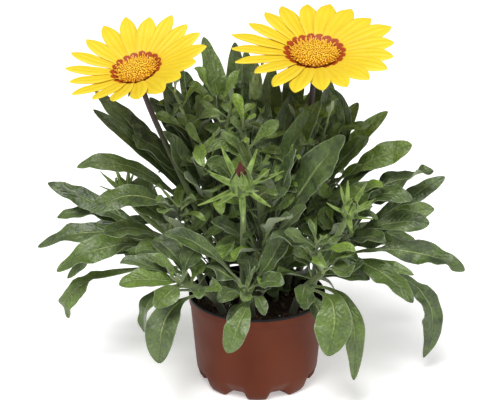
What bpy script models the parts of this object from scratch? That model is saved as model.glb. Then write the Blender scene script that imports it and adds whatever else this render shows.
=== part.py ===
"""A potted gazania: a nursery pot of compost with leafy shoots, two open flowers and four buds.

The origin is the middle of the pot's underside. +Z is up, and the plant's front faces -Y.
Lengths below are in millimetres and angles in degrees; every mesh is scaled to metres as it is made.
"""

import math
import random
from collections import namedtuple

import bpy
import bmesh
import numpy as np
from mathutils import Matrix, Vector
from mathutils.bvhtree import BVHTree

MM = 0.001
SEAT_GAP = 0.3
UP = Vector((0.0, 0.0, 1.0))
GOLDEN_ANGLE = 137.508

# Pot
RIM_RADIUS = 52.5
RIM_HEIGHT = 72.0
POT_WALL = 1.5
RIM_BAND = 7.0
BAND_STEP = 0.5
HEEL_RADIUS = 47.0
HEEL_HEIGHT = 13.0
FOOT_RADIUS = 42.0
FLOOR_THICKNESS = 2.2
LOBES = 8
DRAINS = 4
LOBE_RISE = 4.5
LOBE_INSET = 2.6
POT_SIDES = 40
DRAIN_RADIUS = 3.0
DRAIN_REACH = 34.0

# Compost
COMPOST_HEIGHT = 63.0
COMPOST_BASE_RADIUS = 36.0
COMPOST_RELIEF = 1.6
COMPOST_SIDES = 22
COMPOST_RINGS = 2
ROOT_DEPTH = 11.0
HOLE_CLEARANCE = 0.45
HOLE_SIDES = 6

# Leaves and stems
SHOOT_FOOT_RADIUS = 3.1
SHOOT_HEAD_RADIUS = 2.3
STEM_SIDES = 6
SHOOT_STEPS = 5
FLOWER_STEPS = 8
BUD_STEPS = 7
PETIOLE_WIDTH = 2.8
PETIOLE_THICKNESS = 1.7
BLADE_THICKNESS = 0.8
NECK = 0.16
SHOULDER = 0.70
LIGHT = (0.0, -0.6, 0.8)
MOST_TURN = 75
BLADE_MIDDLE = 0.62
LOWEST_ROOT = 0.45
ROOT_SINK = 1.2
BROAD_LEAF = 16
BROAD_STATIONS = (0.0, 0.26, 0.47, 0.64, 0.79, 0.92)
SLIM_STATIONS = (0.0, 0.32, 0.54, 0.74, 0.91)
FILL_STATIONS = (0.0, 0.34, 0.64, 0.88)
FILL_RANK = 100
PHASE_STEP = 0.37
CLEARANCE = 0.5
OWN_CLEARANCE = 0.2
LOWEST_LEAF = 4.0
# Turn and lift in degrees tried in this order until a leaf clears its neighbours.
NUDGES = ((0, 0), (4, 0), (-4, 0), (0, 4), (0, -4), (5, 5), (-5, 5), (8, 0), (-8, 0), (0, 9), (8, 8),
          (-8, 8), (12, 0), (-12, 0), (0, 14), (13, 9), (-13, 9), (18, 0), (-18, 0), (18, 14),
          (-18, 14), (24, 6), (-24, 6), (0, 22), (30, 12), (-30, 12))

Shoot = namedtuple("Shoot", "foot head fills first length rise width")
Hero = namedtuple("Hero", "shoot tip bow width twist wave")
Leaf = namedtuple("Leaf", "root bow tip width twist wave phase stations rank turn")
Flower = namedtuple("Flower", "foot centre normal spin rays radius disc cup lift arch ray_width")
Bud = namedtuple("Bud", "foot centre normal radius height bracts bract_length spread")

# A shoot's foot in the compost, its head, how many leaves the rule adds to its rosette, the heading
# of the first one, and how long, how high and how wide those leaves are, least and most.
SHOOTS = {
    "shoot_front_left": Shoot((-26, -20, 63), (-57, -50, 99), 3, -175, (30, 52), (8, 62), (14, 18)),
    "shoot_front": Shoot((-4, -28, 63), (-8, -44, 93), 2, 20, (26, 44), (20, 62), (14, 18)),
    "shoot_front_right": Shoot((27, -20, 63), (48, -40, 104), 3, 95, (28, 54), (10, 60), (15, 19)),
    "shoot_right": Shoot((37, 2, 63), (68, -2, 118), 5, 10, (34, 74), (20, 66), (14, 18)),
    "shoot_left": Shoot((-37, 2, 63), (-68, -4, 122), 5, -80, (36, 74), (18, 66), (14, 18)),
    "shoot_upper_left": Shoot((-20, 12, 63), (-42, 12, 150), 6, 150, (52, 84), (34, 74), (15, 19)),
    "shoot_upper_right": Shoot((22, 14, 63), (46, 12, 150), 6, 40, (48, 84), (34, 74), (15, 19)),
    "shoot_centre": Shoot((2, -8, 63), (4, -14, 122), 6, -60, (56, 88), (40, 78), (15, 20)),
    "shoot_back_left": Shoot((-30, 32, 63), (-56, 56, 108), 8, -120, (50, 100), (-16, 60), (15, 21)),
    "shoot_back": Shoot((-9, 36, 63), (-24, 46, 150), 6, 170, (46, 90), (-4, 72), (15, 21)),
    "shoot_top": Shoot((12, 34, 63), (14, 46, 148), 6, 120, (46, 90), (-4, 72), (15, 21)),
    "shoot_back_right": Shoot((30, 32, 63), (56, 56, 106), 8, 130, (50, 100), (-16, 60), (15, 21)),
}

# The leaves that give the front its outline. The tip is a place. The middle of the leaf stands off the
# straight line from root to tip by its bow: to the leaf's left, outward and up. The twist is at the tip.
HEROES = (
    Hero("shoot_front_left", (-70, -86, 54), (0, 16, 18), 23, -6, 0.8),
    Hero("shoot_front_left", (-84, -62, 66), (0, 14, 15), 16, 40, 0.7),
    Hero("shoot_front_left", (-42, -68, 98), (0, 2, 4), 12, 4, 0.3),
    Hero("shoot_front_left", (-99, -62, 104), (0, 0, 7), 19, 10, 0.5),
    Hero("shoot_front_left", (-93, -40, 112), (0, 0, 8), 13, 0, 0.6),
    Hero("shoot_front_left", (-100, -46, 116), (0, 4, 8), 9, 10, 0.3),
    Hero("shoot_front_left", (-80, -20, 121), (0, 0, 6), 15, 8, 0.5),
    Hero("shoot_front_left", (-44, -38, 117), (0, 0, 1), 15, 0, 0.4),
    Hero("shoot_front", (-21, -58, 70), (0, 2, 5), 8, 0, 0.3),
    Hero("shoot_front", (-22, -82, 58), (7, 12, 16), 18, 8, 0.6),
    Hero("shoot_front", (-28, -62, 92), (0, 0, 5), 13, -4, 0.3),
    Hero("shoot_front", (5, -66, 82), (0, 3, 6), 9, 12, 0.3),
    Hero("shoot_front", (14, -40, 114), (0, 0, 3), 15, 10, 0.4),
    Hero("shoot_front", (30, -46, 134), (0, 0, 2), 19, 14, 0.7),
    Hero("shoot_front", (-37, -46, 112), (0, 0, 5), 15, 35, 1.2),
    Hero("shoot_front", (-66, -52, 141), (0, 0, 8), 14, 0, 0.5),
    Hero("shoot_front_right", (49, -56, 66), (0, 4, 8), 12, 30, 0.4),
    Hero("shoot_front_right", (50, -82, 58), (6, 15, 18), 27, 6, 1.2),
    Hero("shoot_front_right", (71, -64, 28), (0, 14, 26), 14, 16, 0.6),
    Hero("shoot_front_right", (31, -64, 90), (0, 0, 5), 13, -12, 0.3),
    Hero("shoot_front_right", (83, -26, 97), (0, 0, 6), 12, -10, 0.4),
    Hero("shoot_front_right", (78, -36, 111), (0, 0, 3), 14, 6, 0.4),
    Hero("shoot_front_right", (28, -36, 120), (0, 0, 4), 14, -8, 0.4),
    Hero("shoot_front_right", (58, -42, 126), (0, 0, 1), 10, 0, 0.3),
    Hero("shoot_right", (132, 0, 13), (0, 34, 26), 17, 30, 1.8),
    Hero("shoot_right", (115, -36, 101), (0, 0, 8), 9, 0, 0.4),
    Hero("shoot_right", (156, -18, 96), (0, 2, 16), 19, 8, 1.6),
    Hero("shoot_right", (112, -60, 89), (0, 4, 14), 19, -8, 0.8),
    Hero("shoot_right", (132, -4, 142), (0, 0, 6), 18, 20, 1.5),
    Hero("shoot_right", (143, 20, 158), (0, 0, 2), 15, 12, 0.6),
    Hero("shoot_right", (92, -44, 130), (0, 0, 4), 16, 0, 0.7),
    Hero("shoot_right", (62, -38, 142), (0, 0, 2), 14, 0, 0.5),
    Hero("shoot_left", (-143, -20, 58), (0, 28, 14), 14, -30, 2.0),
    Hero("shoot_left", (-148, 12, 77), (0, 2, 22), 13, 0, 1.2),
    Hero("shoot_left", (-168, 0, 110), (0, -4, 18), 16, 6, 1.0),
    Hero("shoot_left", (-149, -32, 103), (0, 0, 16), 20, 6, 1.0),
    Hero("shoot_left", (-156, 14, 126), (0, 2, 12), 13, 10, 1.2),
    Hero("shoot_left", (-158, 30, 152), (0, 0, 4), 16, -6, 0.6),
    Hero("shoot_left", (-88, -36, 160), (0, 0, 5), 16, 0, 0.5),
    Hero("shoot_left", (-64, -46, 150), (0, 0, 4), 15, 0, 0.5),
    Hero("shoot_upper_left", (-119, -50, 156), (0, 4, 24), 18, -12, 0.8),
    Hero("shoot_upper_left", (-136, 10, 170), (0, 2, 24), 14, -6, 0.8),
    Hero("shoot_upper_left", (-122, 16, 212), (0, -3, 5), 12, 0, 0.5),
    Hero("shoot_upper_left", (-123, 40, 219), (0, -3, 6), 18, 4, 0.5),
    Hero("shoot_upper_left", (-98, 18, 196), (0, 0, 4), 16, 10, 0.6),
    Hero("shoot_upper_left", (-80, 26, 219), (0, -5, 5), 14, 0, 0.5),
    Hero("shoot_upper_left", (-67, -8, 203), (0, 0, 4), 15, 10, 0.6),
    Hero("shoot_upper_left", (-76, 36, 226), (4, -6, 4), 18, -10, 0.5),
    Hero("shoot_upper_left", (-52, -34, 176), (0, 0, 6), 16, 0, 0.5),
    Hero("shoot_upper_left", (-32, -28, 166), (0, 0, 6), 14, 0, 0.5),
    Hero("shoot_upper_right", (113, -24, 155), (0, 6, 20), 16, 0, 0.7),
    Hero("shoot_upper_right", (131, 4, 170), (0, 4, 10), 19, -40, 2.2),
    Hero("shoot_upper_right", (94, -14, 167), (0, 2, 6), 16, 0, 0.8),
    Hero("shoot_upper_right", (110, 10, 186), (0, 2, 14), 15, 0, 0.5),
    Hero("shoot_upper_right", (99, 22, 182), (0, 12, 12), 9, 20, 0.5),
    Hero("shoot_upper_right", (98, 26, 208), (0, -3, 8), 13, 10, 0.5),
    Hero("shoot_upper_right", (69, 20, 226), (0, 22, 6), 10, 0, 0.8),
    Hero("shoot_upper_right", (78, 34, 212), (-4, -5, 6), 15, 0, 0.5),
    Hero("shoot_upper_right", (62, 32, 228), (0, -2, 2), 20, 50, 0.5),
    Hero("shoot_upper_right", (81, -2, 196), (0, 0, 8), 14, 0, 0.6),
    Hero("shoot_upper_right", (54, -36, 182), (0, 0, 6), 14, 0, 0.5),
    Hero("shoot_upper_right", (76, -34, 164), (0, 0, 6), 14, 0, 0.5),
    Hero("shoot_centre", (-42, -18, 188), (0, -10, 46), 17, 10, 0.6),
    Hero("shoot_centre", (-36, -34, 186), (0, 2, 26), 13, -10, 0.6),
    Hero("shoot_centre", (60, -50, 212), (0, -2, 6), 24, 8, 0.7),
    Hero("shoot_centre", (8, 14, 218), (4, -6, 6), 17, 0, 0.6),
    Hero("shoot_centre", (26, -36, 198), (0, 0, 4), 15, 0, 0.5),
    Hero("shoot_centre", (46, -4, 224), (0, -7, 6), 18, 0, 0.5),
    Hero("shoot_centre", (20, 8, 226), (0, -2, 3), 17, 10, 0.5),
    Hero("shoot_centre", (-30, -46, 146), (0, 0, 5), 13, 0, 0.5),
    Hero("shoot_centre", (34, -52, 160), (0, 0, 5), 14, 0, 0.5),
    Hero("shoot_back", (-49, 66, 254), (0, -4, 4), 19, 6, 0.6),
    Hero("shoot_back", (-17, 70, 250), (0, 0, 2), 16, 0, 0.5),
    Hero("shoot_back", (-46, 44, 236), (0, 0, 3), 14, 12, 0.5),
    Hero("shoot_back", (-59, 60, 232), (0, 0, 3), 15, 0, 0.5),
    Hero("shoot_back", (-30, 20, 222), (0, 0, 2), 18, 0, 0.5),
    Hero("shoot_top", (-9, 60, 246), (0, 0, 2), 18, 6, 0.5),
    Hero("shoot_top", (30, 62, 242), (-5, -4, 6), 17, -8, 0.6),
    Hero("shoot_top", (12, 44, 238), (5, -5, 4), 18, 0, 0.5),
    Hero("shoot_top", (6, 20, 206), (0, 0, 4), 17, 0, 0.5),
    Hero("shoot_top", (48, 52, 222), (0, 0, 3), 17, 0, 0.5),
    Hero("shoot_top", (-10, 44, 226), (0, -2, 1), 15, -10, 0.5),
    Hero("shoot_back_left", (4, 64, 118), (0, 0, 8), 19, 0, 0.6),
    Hero("shoot_back_left", (-20, 62, 160), (0, 0, 6), 18, 0, 0.6),
    Hero("shoot_back_right", (-8, 74, 98), (0, 0, 8), 18, 0, 0.6),
    Hero("shoot_back_right", (10, 60, 146), (0, 0, 6), 18, 0, 0.6),
)

FLOWERS = {
    "flower_left": Flower((-22, -5, 63), (-86, -12, 248), (-0.20, -0.36, 0.91), 4, 18, 52, 13.5,
                          11, 14, 3, 14.0),
    "flower_right": Flower((14, 2, 63), (41, 0, 257), (0.0, -0.33, 0.943), 4, 20, 60, 16.0,
                           12, 10, 4, 15.5),
}
RING_THICKNESS = 2.0
RING_SIDES = 14
RAY_THICKNESS = 0.7
RAY_BASE = 0.25
RAY_BROADEST = 0.62
RAY_ROLL = 10
RAY_STATIONS = (0.0, 0.28, 0.60, 0.86)
CUP_HEIGHT = 14.0
CUP_SIDES = 12
CUP_TEETH = 9
TOOTH_LENGTH = 10.0
TOOTH_CURL = 0.05
PEDUNCLE_RADIUS = 2.0
PEDUNCLE_FOOT_RADIUS = 2.3
DISC_RINGS = 7
DISC_SIDES = 26
DISC_DOME = 4.0
FLORET_HEIGHT = 1.5
RIM_FLORET_HEIGHT = 3.2

BUDS = {
    "bud_front": Bud((-11, -17, 63), (-11, -46, 168), (-0.05, -0.30, 1.0), 9.5, 17, 14, 25, 1.0),
    "bud_right": Bud((37, -17, 63), (64, -50, 152), (0.30, -0.35, 1.0), 6.5, 12, 10, 20, 0.8),
    "bud_left": Bud((-30, 22, 63), (-102, 40, 136), (-0.45, 0.10, 1.0), 6.0, 12, 8, 18, 0.7),
    "bud_back": Bud((-2, 16, 63), (-2, 30, 214), (0.10, 0.0, 1.0), 4.6, 17, 6, 13, 0.1),
}
BUD_SIDES = 8
BUD_STEM_RADIUS = 2.3
BRACT_WIDTH = 3.6
BRACT_THICKNESS = 0.9
BRACT_CURL = 0.12
FURLED_RADIUS = 3.6
FURLED_HEIGHT = 11.0

COLOURS = {
    "terracotta": ((0.36, 0.11, 0.06), 0.45),
    "compost": ((0.035, 0.022, 0.016), 0.95),
    "leaf": ((0.07, 0.16, 0.04), 0.55),
    "stalk": ((0.16, 0.22, 0.07), 0.55),
    "ray": ((0.95, 0.68, 0.03), 0.6),
    "floret": ((0.85, 0.38, 0.02), 0.7),
    "bract": ((0.22, 0.38, 0.07), 0.5),
    "furled": ((0.28, 0.05, 0.05), 0.6),
}


def clear_scene():
    """Removes whatever the file opened with."""
    for obj in list(bpy.data.objects):
        bpy.data.objects.remove(obj)


def material(name):
    """The Principled material of that name, made once."""
    found = bpy.data.materials.get(name)
    if found:
        return found
    colour, roughness = COLOURS[name]
    made = bpy.data.materials.new(name)
    made.use_nodes = True
    shader = made.node_tree.nodes["Principled BSDF"]
    shader.inputs["Base Color"].default_value = (*colour, 1.0)
    shader.inputs["Roughness"].default_value = roughness
    shader.inputs["Metallic"].default_value = 0.0
    made.diffuse_color = (*colour, 1.0)
    return made


def add_object(name, points, faces, material_name):
    """A mesh object from points in millimetres."""
    mesh = bpy.data.meshes.new(name)
    mesh.from_pydata([Vector(p) * MM for p in points], [], faces)
    mesh.materials.append(material(material_name))
    obj = bpy.data.objects.new(name, mesh)
    bpy.context.scene.collection.objects.link(obj)
    return obj


def baked(obj):
    """The object's mesh with its modifiers applied, as a new mesh."""
    bpy.context.view_layer.update()
    graph = bpy.context.evaluated_depsgraph_get()
    return bpy.data.meshes.new_from_object(obj.evaluated_get(graph))


def drop_scraps(mesh):
    """Keeps the largest connected part of a mesh."""
    work = bmesh.new()
    work.from_mesh(mesh)
    unseen = set(work.verts)
    islands = []
    while unseen:
        island = set()
        edge = [unseen.pop()]
        while edge:
            vertex = edge.pop()
            island.add(vertex)
            for link in vertex.link_edges:
                other = link.other_vert(vertex)
                if other in unseen:
                    unseen.remove(other)
                    edge.append(other)
        islands.append(island)
    islands.sort(key=len)
    for island in islands[:-1]:
        bmesh.ops.delete(work, geom=list(island), context="VERTS")
    work.to_mesh(mesh)
    work.free()


def combine(name, target, others, operation, smooth=40):
    """One closed body: target with the others joined to it or cut from it in a single Boolean."""
    group = bpy.data.collections.new(f"{name}_others")
    bpy.context.scene.collection.children.link(group)
    for other in others:
        bpy.context.scene.collection.objects.unlink(other)
        group.objects.link(other)
    boolean = target.modifiers.new(operation.lower(), "BOOLEAN")
    boolean.operation = operation
    boolean.solver = "EXACT"
    boolean.operand_type = "COLLECTION"
    boolean.collection = group
    mesh = baked(target)
    target.modifiers.clear()
    drop_scraps(mesh)
    target.data = mesh
    target.name = name
    mesh.name = name
    for other in others:
        bpy.data.objects.remove(other)
    bpy.data.collections.remove(group)
    mesh.shade_smooth()
    mesh.set_sharp_from_angle(angle=math.radians(smooth))
    return target


def smooth_step(low, high, value):
    """0 below low, 1 above high, with a smooth rise between."""
    share = min(1.0, max(0.0, (value - low) / (high - low)))
    return share * share * (3.0 - 2.0 * share)


def mix(low, high, share):
    """The value that share of the way from low to high."""
    return low + (high - low) * share


def bezier(points, share):
    """The point at share of a Bezier curve through any number of control points."""
    points = [Vector(p) for p in points]
    while len(points) > 1:
        points = [a.lerp(b, share) for a, b in zip(points, points[1:])]
    return points[0]


def bezier_heading(points, share):
    """The direction of that curve at share."""
    step = 0.01
    return (bezier(points, min(1.0, share + step)) - bezier(points, max(0.0, share - step))).normalized()


def skin(rings, cap_start, cap_end, mirrored=()):
    """Points and triangles over rings of points. A ring of one point is a tip.

    mirrored holds the columns whose quads are split by the other diagonal, so that a thin blade's two
    faces are split alike. The caps are triangles as indices into the first and last rings.
    """
    points = [p for ring in rings for p in ring]
    starts = np.cumsum([0] + [len(ring) for ring in rings])
    faces = []
    for k, (a, b) in enumerate(zip(rings, rings[1:])):
        count = max(len(a), len(b))
        for j in range(count):
            nxt = (j + 1) % count
            a0, a1 = (starts[k] + (i if len(a) > 1 else 0) for i in (j, nxt))
            b0, b1 = (starts[k + 1] + (i if len(b) > 1 else 0) for i in (j, nxt))
            if len(b) == 1:
                faces.append((a0, a1, b0))
            elif len(a) == 1:
                faces.append((a0, b1, b0))
            elif j in mirrored:
                faces += [(a0, a1, b0), (a1, b1, b0)]
            else:
                faces += [(a0, a1, b1), (a0, b1, b0)]
    faces += [tuple(int(starts[0]) + i for i in face) for face in cap_start]
    faces += [tuple(int(starts[len(rings) - 1]) + i for i in face) for face in cap_end]
    return points, [tuple(int(i) for i in face) for face in faces]


def fan(count, forward):
    """The triangles that close a convex ring."""
    found = [(0, i, i + 1) for i in range(1, count - 1)]
    return found if forward else [face[::-1] for face in found]


def tube(path, radii, sides, first=0.0):
    """Points and triangles of a tapered tube with flat ends."""
    rings = []
    for k, centre in enumerate(path):
        before, after = path[max(0, k - 1)], path[min(len(path) - 1, k + 1)]
        heading = (after - before).normalized()
        side = Vector((1.0, 0.0, 0.0))
        side = (side - heading * side.dot(heading)).normalized()
        across = heading.cross(side)
        angles = [math.radians(first + 360.0 * i / sides) for i in range(sides)]
        rings.append([centre + (side * math.cos(a) + across * math.sin(a)) * radii[k] for a in angles])
    return skin(rings, fan(sides, False), fan(sides, True))


def blade(stations, place, thickness, half_width, edges):
    """Points and triangles of a thin blade with a flat section.

    place gives the middle, side and normal at a station, and edges the lift of its two margins.
    """
    rings = []
    for station in stations:
        centre, side, normal = place(station)
        reach = half_width(station)
        half = normal * thickness(station) / 2.0
        left, right = (normal * lift for lift in edges(station))
        left, right = centre - side * reach + left, centre + side * reach + right
        rings.append([left + half, right + half, right - half, left - half])
    rings.append([place(1.0)[0]])
    points, faces = skin(rings, fan(4, False), [], mirrored=(2,))
    return points, [face[::-1] for face in faces]


def level_side(leaf, share):
    """The heading of the leaf's middle line at share, and the side that its blade has before it turns."""
    heading = bezier_heading((leaf.root, leaf.bow, leaf.tip), share)
    over = Vector(leaf.tip) - Vector(leaf.root)
    over.z = 0.0
    level = UP.cross(over.normalized())
    return heading, (level - heading * level.dot(heading)).normalized()


def turn_to_light(leaf):
    """How far the blade rolls about its middle line to face the light in front of the plant."""
    heading, side = level_side(leaf, BLADE_MIDDLE)
    normal = heading.cross(side)
    light = Vector(LIGHT)
    turn = math.degrees(math.atan2(-light.dot(side), light.dot(normal)))
    return max(-MOST_TURN, min(MOST_TURN, turn))


def leaf_frame(leaf, share):
    """The middle of the leaf at share of its length, with its side and upper normal."""
    heading, side = level_side(leaf, share)
    roll = leaf.turn * smooth_step(0.05, 0.5, share) + leaf.twist * share
    side = Matrix.Rotation(math.radians(roll), 3, heading) @ side
    return bezier((leaf.root, leaf.bow, leaf.tip), share), side, heading.cross(side)


def leaf_half_width(leaf, share):
    """Half the width of the spoon-shaped leaf: a narrow stalk, a broad shoulder and a round tip."""
    stalk = PETIOLE_WIDTH / 2.0
    if share < SHOULDER:
        return mix(stalk, leaf.width / 2.0, smooth_step(NECK, SHOULDER, share))
    beyond = (share - SHOULDER) / (1.0 - SHOULDER)
    return leaf.width / 2.0 * math.sqrt(max(0.0, 1.0 - beyond ** 2.3))


def leaf_margins(leaf, share):
    """How far the wave lifts the left and right margins off the leaf's middle."""
    flat = smooth_step(NECK, 0.5, share)
    turn = 2.0 * math.pi * (1.7 * share + leaf.phase)
    return leaf.wave * flat * math.sin(turn), leaf.wave * flat * math.sin(turn + 2.2)


def leaf_thickness(share):
    """A stout stalk that thins into the blade."""
    return mix(PETIOLE_THICKNESS, BLADE_THICKNESS, smooth_step(0.05, 0.5, share))


def leaf_mesh(leaf, spare=0.0):
    """Points and triangles of a leaf, thicker and wider by spare all round for a clearance test."""
    return blade(
        leaf.stations,
        lambda share: leaf_frame(leaf, share),
        lambda share: leaf_thickness(share) + 2.0 * spare,
        lambda share: leaf_half_width(leaf, share) + spare,
        lambda share: leaf_margins(leaf, share),
    )


def nudged(leaf, turn, lift):
    """The leaf swung about its root: turn degrees round the upright, and lift degrees up."""
    root = Vector(leaf.root)
    over = Vector(leaf.tip) - root
    side = Vector((over.y, -over.x, 0.0)).normalized()
    swing = Matrix.Rotation(math.radians(turn), 3, "Z") @ Matrix.Rotation(math.radians(lift), 3, side)
    return leaf._replace(bow=root + swing @ (Vector(leaf.bow) - root), tip=root + swing @ over)


class Surface:
    """A closed surface that can be tested against others."""

    def __init__(self, mesh):
        points, faces = mesh
        spots = np.array([tuple(p) for p in points])
        self.low, self.high = spots.min(0), spots.max(0)
        self.tree = BVHTree.FromPolygons([Vector(p) for p in points], faces)

    def meets(self, other):
        """Whether the two surfaces cross."""
        if (self.low > other.high).any() or (self.high < other.low).any():
            return False
        return bool(self.tree.overlap(other.tree))


class Clearing:
    """The surfaces already placed, each with the node that it belongs to."""

    def __init__(self):
        self.placed = []

    def add(self, node, whole, outer=None):
        """Remembers one closed surface of a node, and the part of it that its own node keeps off."""
        whole = Surface(whole)
        self.placed.append((node, whole, Surface(outer) if outer else whole))

    def crosses(self, node, whole, outer):
        """Whether a surface meets another node, or its outer part meets its own node."""
        whole, outer = Surface(whole), Surface(outer)
        return any(outer.meets(part) if owner == node else whole.meets(other)
                   for owner, other, part in self.placed)

    def add_object(self, obj):
        """Remembers a finished object."""
        mesh = baked(obj)
        mesh.calc_loop_triangles()
        points = [v.co / MM for v in mesh.vertices]
        self.add(obj.name, (points, [tuple(t.vertices) for t in mesh.loop_triangles]))
        bpy.data.meshes.remove(mesh)


def stem_controls(foot, head, end_heading=None):
    """Control points of a stem that leaves the compost upright and leans to its head."""
    foot, head = Vector(foot), Vector(head)
    length = (head - foot).length
    start = (UP * 0.7 + (head - foot).normalized() * 0.6).normalized()
    if end_heading is None:
        return [foot, foot + start * length * 0.5, head]
    last = head - Vector(end_heading).normalized() * length * 0.28
    return [foot, foot + start * length * 0.35, last, head]


def stem_path(controls, steps):
    """The stem's middle line, with its straight root below the compost's surface first."""
    buried = controls[0] - bezier_heading(controls, 0.0) * ROOT_DEPTH
    return [buried] + [bezier(controls, k / steps) for k in range(steps + 1)]


def stem_mesh(controls, steps, foot_radius, head_radius, sides=STEM_SIDES):
    """Points and triangles of a stem from its root to its head."""
    path = stem_path(controls, steps)
    radii = [foot_radius] + [mix(foot_radius, head_radius, k / steps) for k in range(steps + 1)]
    return tube(path, radii, sides)


def pot_radius(height):
    """The pot's outer radius at a height, from its heel up."""
    return mix(HEEL_RADIUS, RIM_RADIUS - BAND_STEP, (height - HEEL_HEIGHT) / (RIM_HEIGHT - HEEL_HEIGHT))


def make_pot():
    """A thin tapered nursery pot with a band under its rim and a foot of eight lobes."""
    band = RIM_HEIGHT - RIM_BAND
    profile = [
        (RIM_RADIUS - POT_WALL, RIM_HEIGHT, 0),
        (RIM_RADIUS, RIM_HEIGHT, 0),
        (RIM_RADIUS - 0.4, band, 0),
        (pot_radius(band - 1.0), band - 1.0, 0),
        (HEEL_RADIUS, HEEL_HEIGHT, 0.15),
        (mix(HEEL_RADIUS, FOOT_RADIUS, 0.45), HEEL_HEIGHT * 0.35, 0.8),
        (FOOT_RADIUS, 0.0, 1.0),
        (DRAIN_REACH + 5.0, 0.0, 1.0),
        (DRAIN_REACH - 6.0, 0.0, 0),
    ]
    inside = [
        (DRAIN_REACH - 6.0, FLOOR_THICKNESS, 0),
        (DRAIN_REACH + 4.5, FLOOR_THICKNESS, 1.0),
        (HEEL_RADIUS - POT_WALL, HEEL_HEIGHT + 1.0, 0.15),
    ]

    def ring(radius, height, lobed):
        """One ring of the profile, drawn in and lifted between the lobes."""
        found = []
        for i in range(POT_SIDES):
            angle = 2.0 * math.pi * i / POT_SIDES
            between = smooth_step(0.35, 0.8, 0.5 - 0.5 * math.cos(LOBES * angle)) * lobed
            reach, level = radius - LOBE_INSET * between, height + LOBE_RISE * between
            found.append(Vector((reach * math.sin(angle), -reach * math.cos(angle), level)))
        return found

    rings = [[Vector((0.0, 0.0, FLOOR_THICKNESS))]]
    rings += [ring(*row) for row in inside + profile]
    rings.append([Vector((0.0, 0.0, 0.0))])
    points, faces = skin(rings, [], [])
    pot = add_object("pot", points, [face[::-1] for face in faces], "terracotta")
    drains = []
    for k in range(DRAINS):
        angle = 2.0 * math.pi * (k + 0.5) / DRAINS
        foot = Vector((math.sin(angle), -math.cos(angle), 0.0)) * DRAIN_REACH
        path = [foot - UP * 3.0, foot + UP * (LOBE_RISE + FLOOR_THICKNESS + 3.0)]
        drains.append(add_object(f"drain_{k}", *tube(path, [DRAIN_RADIUS] * 2, HOLE_SIDES), "terracotta"))
    return combine("pot", pot, drains, "DIFFERENCE")


def compost_relief(x, y):
    """The lumpy height of the compost's surface."""
    waves = math.sin(0.31 * x + 1.3) * math.cos(0.27 * y) + 0.6 * math.sin(0.53 * y + 0.36 * x)
    return COMPOST_RELIEF * 0.6 * waves


def make_compost(stems):
    """The root ball: it fills the pot to below the rim, with a plain hole for each stem."""
    inner = pot_radius(COMPOST_HEIGHT) - POT_WALL - SEAT_GAP - 0.4
    rings = [[Vector((0.0, 0.0, COMPOST_HEIGHT + compost_relief(0.0, 0.0)))]]
    for k in range(1, COMPOST_RINGS + 1):
        reach = inner * k / COMPOST_RINGS
        rough = 1.0 if k < COMPOST_RINGS else 0.3
        ring = []
        for i in range(COMPOST_SIDES):
            angle = 2.0 * math.pi * (i + 0.5 * (k % 2)) / COMPOST_SIDES
            x, y = reach * math.sin(angle), -reach * math.cos(angle)
            ring.append(Vector((x, y, COMPOST_HEIGHT + compost_relief(x, y) * rough)))
        rings.append(ring)
    heel = HEEL_RADIUS - POT_WALL - SEAT_GAP - 1.0
    base = (DRAIN_REACH - 8.0, FLOOR_THICKNESS + SEAT_GAP)
    for reach, height in ((heel, HEEL_HEIGHT + 3.0), (COMPOST_BASE_RADIUS, 10.0), base):
        angles = [2.0 * math.pi * (i + 0.5) / COMPOST_SIDES for i in range(COMPOST_SIDES)]
        rings.append([Vector((reach * math.sin(a), -reach * math.cos(a), height)) for a in angles])
    rings.append([Vector((0.0, 0.0, FLOOR_THICKNESS + SEAT_GAP))])
    points, faces = skin(rings, [], [])
    compost = add_object("compost", points, [face[::-1] for face in faces], "compost")
    holes = []
    for k, (controls, radius) in enumerate(stems):
        heading = bezier_heading(controls, 0.0)
        path = [controls[0] - heading * (ROOT_DEPTH + SEAT_GAP), controls[0] + heading * 8.0]
        hole = tube(path, [radius + HOLE_CLEARANCE + 0.2] * 2, HOLE_SIDES)
        holes.append(add_object(f"hole_{k}", *hole, "compost"))
    return combine("compost", compost, holes, "DIFFERENCE")


def petal_frame(flower, ray, share):
    """A ray's middle at share of its length in the flower's own axes, with its side and normal."""
    start = flower.disc - 2.0

    def middle(along):
        """The ray's arched middle line."""
        out = mix(start, ray["reach"], along)
        rise = ray["lift"] * along ** 1.4 + flower.arch * math.sin(math.pi * along ** 1.3)
        return Vector((out, 0.0, rise - RAY_THICKNESS))

    step = 0.02
    heading = (middle(min(1.0, share + step)) - middle(max(0.0, share - step))).normalized()
    roll = math.radians(ray["roll"] * smooth_step(0.0, 0.3, share))
    side = Matrix.Rotation(roll, 3, heading) @ Vector((0.0, 1.0, 0.0))
    turn = Matrix.Rotation(math.radians(ray["azimuth"]), 3, "Z")
    return turn @ middle(share), turn @ side, turn @ heading.cross(side)


def ray_half_width(width, share):
    """Half the width of a ray: narrow at its foot, broad past the middle, drawn to a blunt point."""
    if share < RAY_BROADEST:
        return width / 2.0 * mix(RAY_BASE, 1.0, math.sin(math.pi / 2.0 * share / RAY_BROADEST))
    beyond = (share - RAY_BROADEST) / (1.0 - RAY_BROADEST)
    return width / 2.0 * max(0.0, 1.0 - beyond ** 2) ** 0.75


def rays_of(name, flower):
    """The rays round a flower, each a little different, by a seeded draw."""
    draw = random.Random(name)
    found = []
    for k in range(flower.rays):
        found.append({
            "azimuth": flower.spin + 360.0 * k / flower.rays + draw.uniform(-1.2, 1.2),
            "reach": flower.radius * draw.uniform(0.92, 1.04),
            "lift": flower.lift + draw.uniform(-0.6, 0.6),
            "roll": RAY_ROLL + draw.uniform(-1.5, 1.5),
            "width": flower.ray_width * draw.uniform(0.92, 1.05),
        })
    return found


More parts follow.
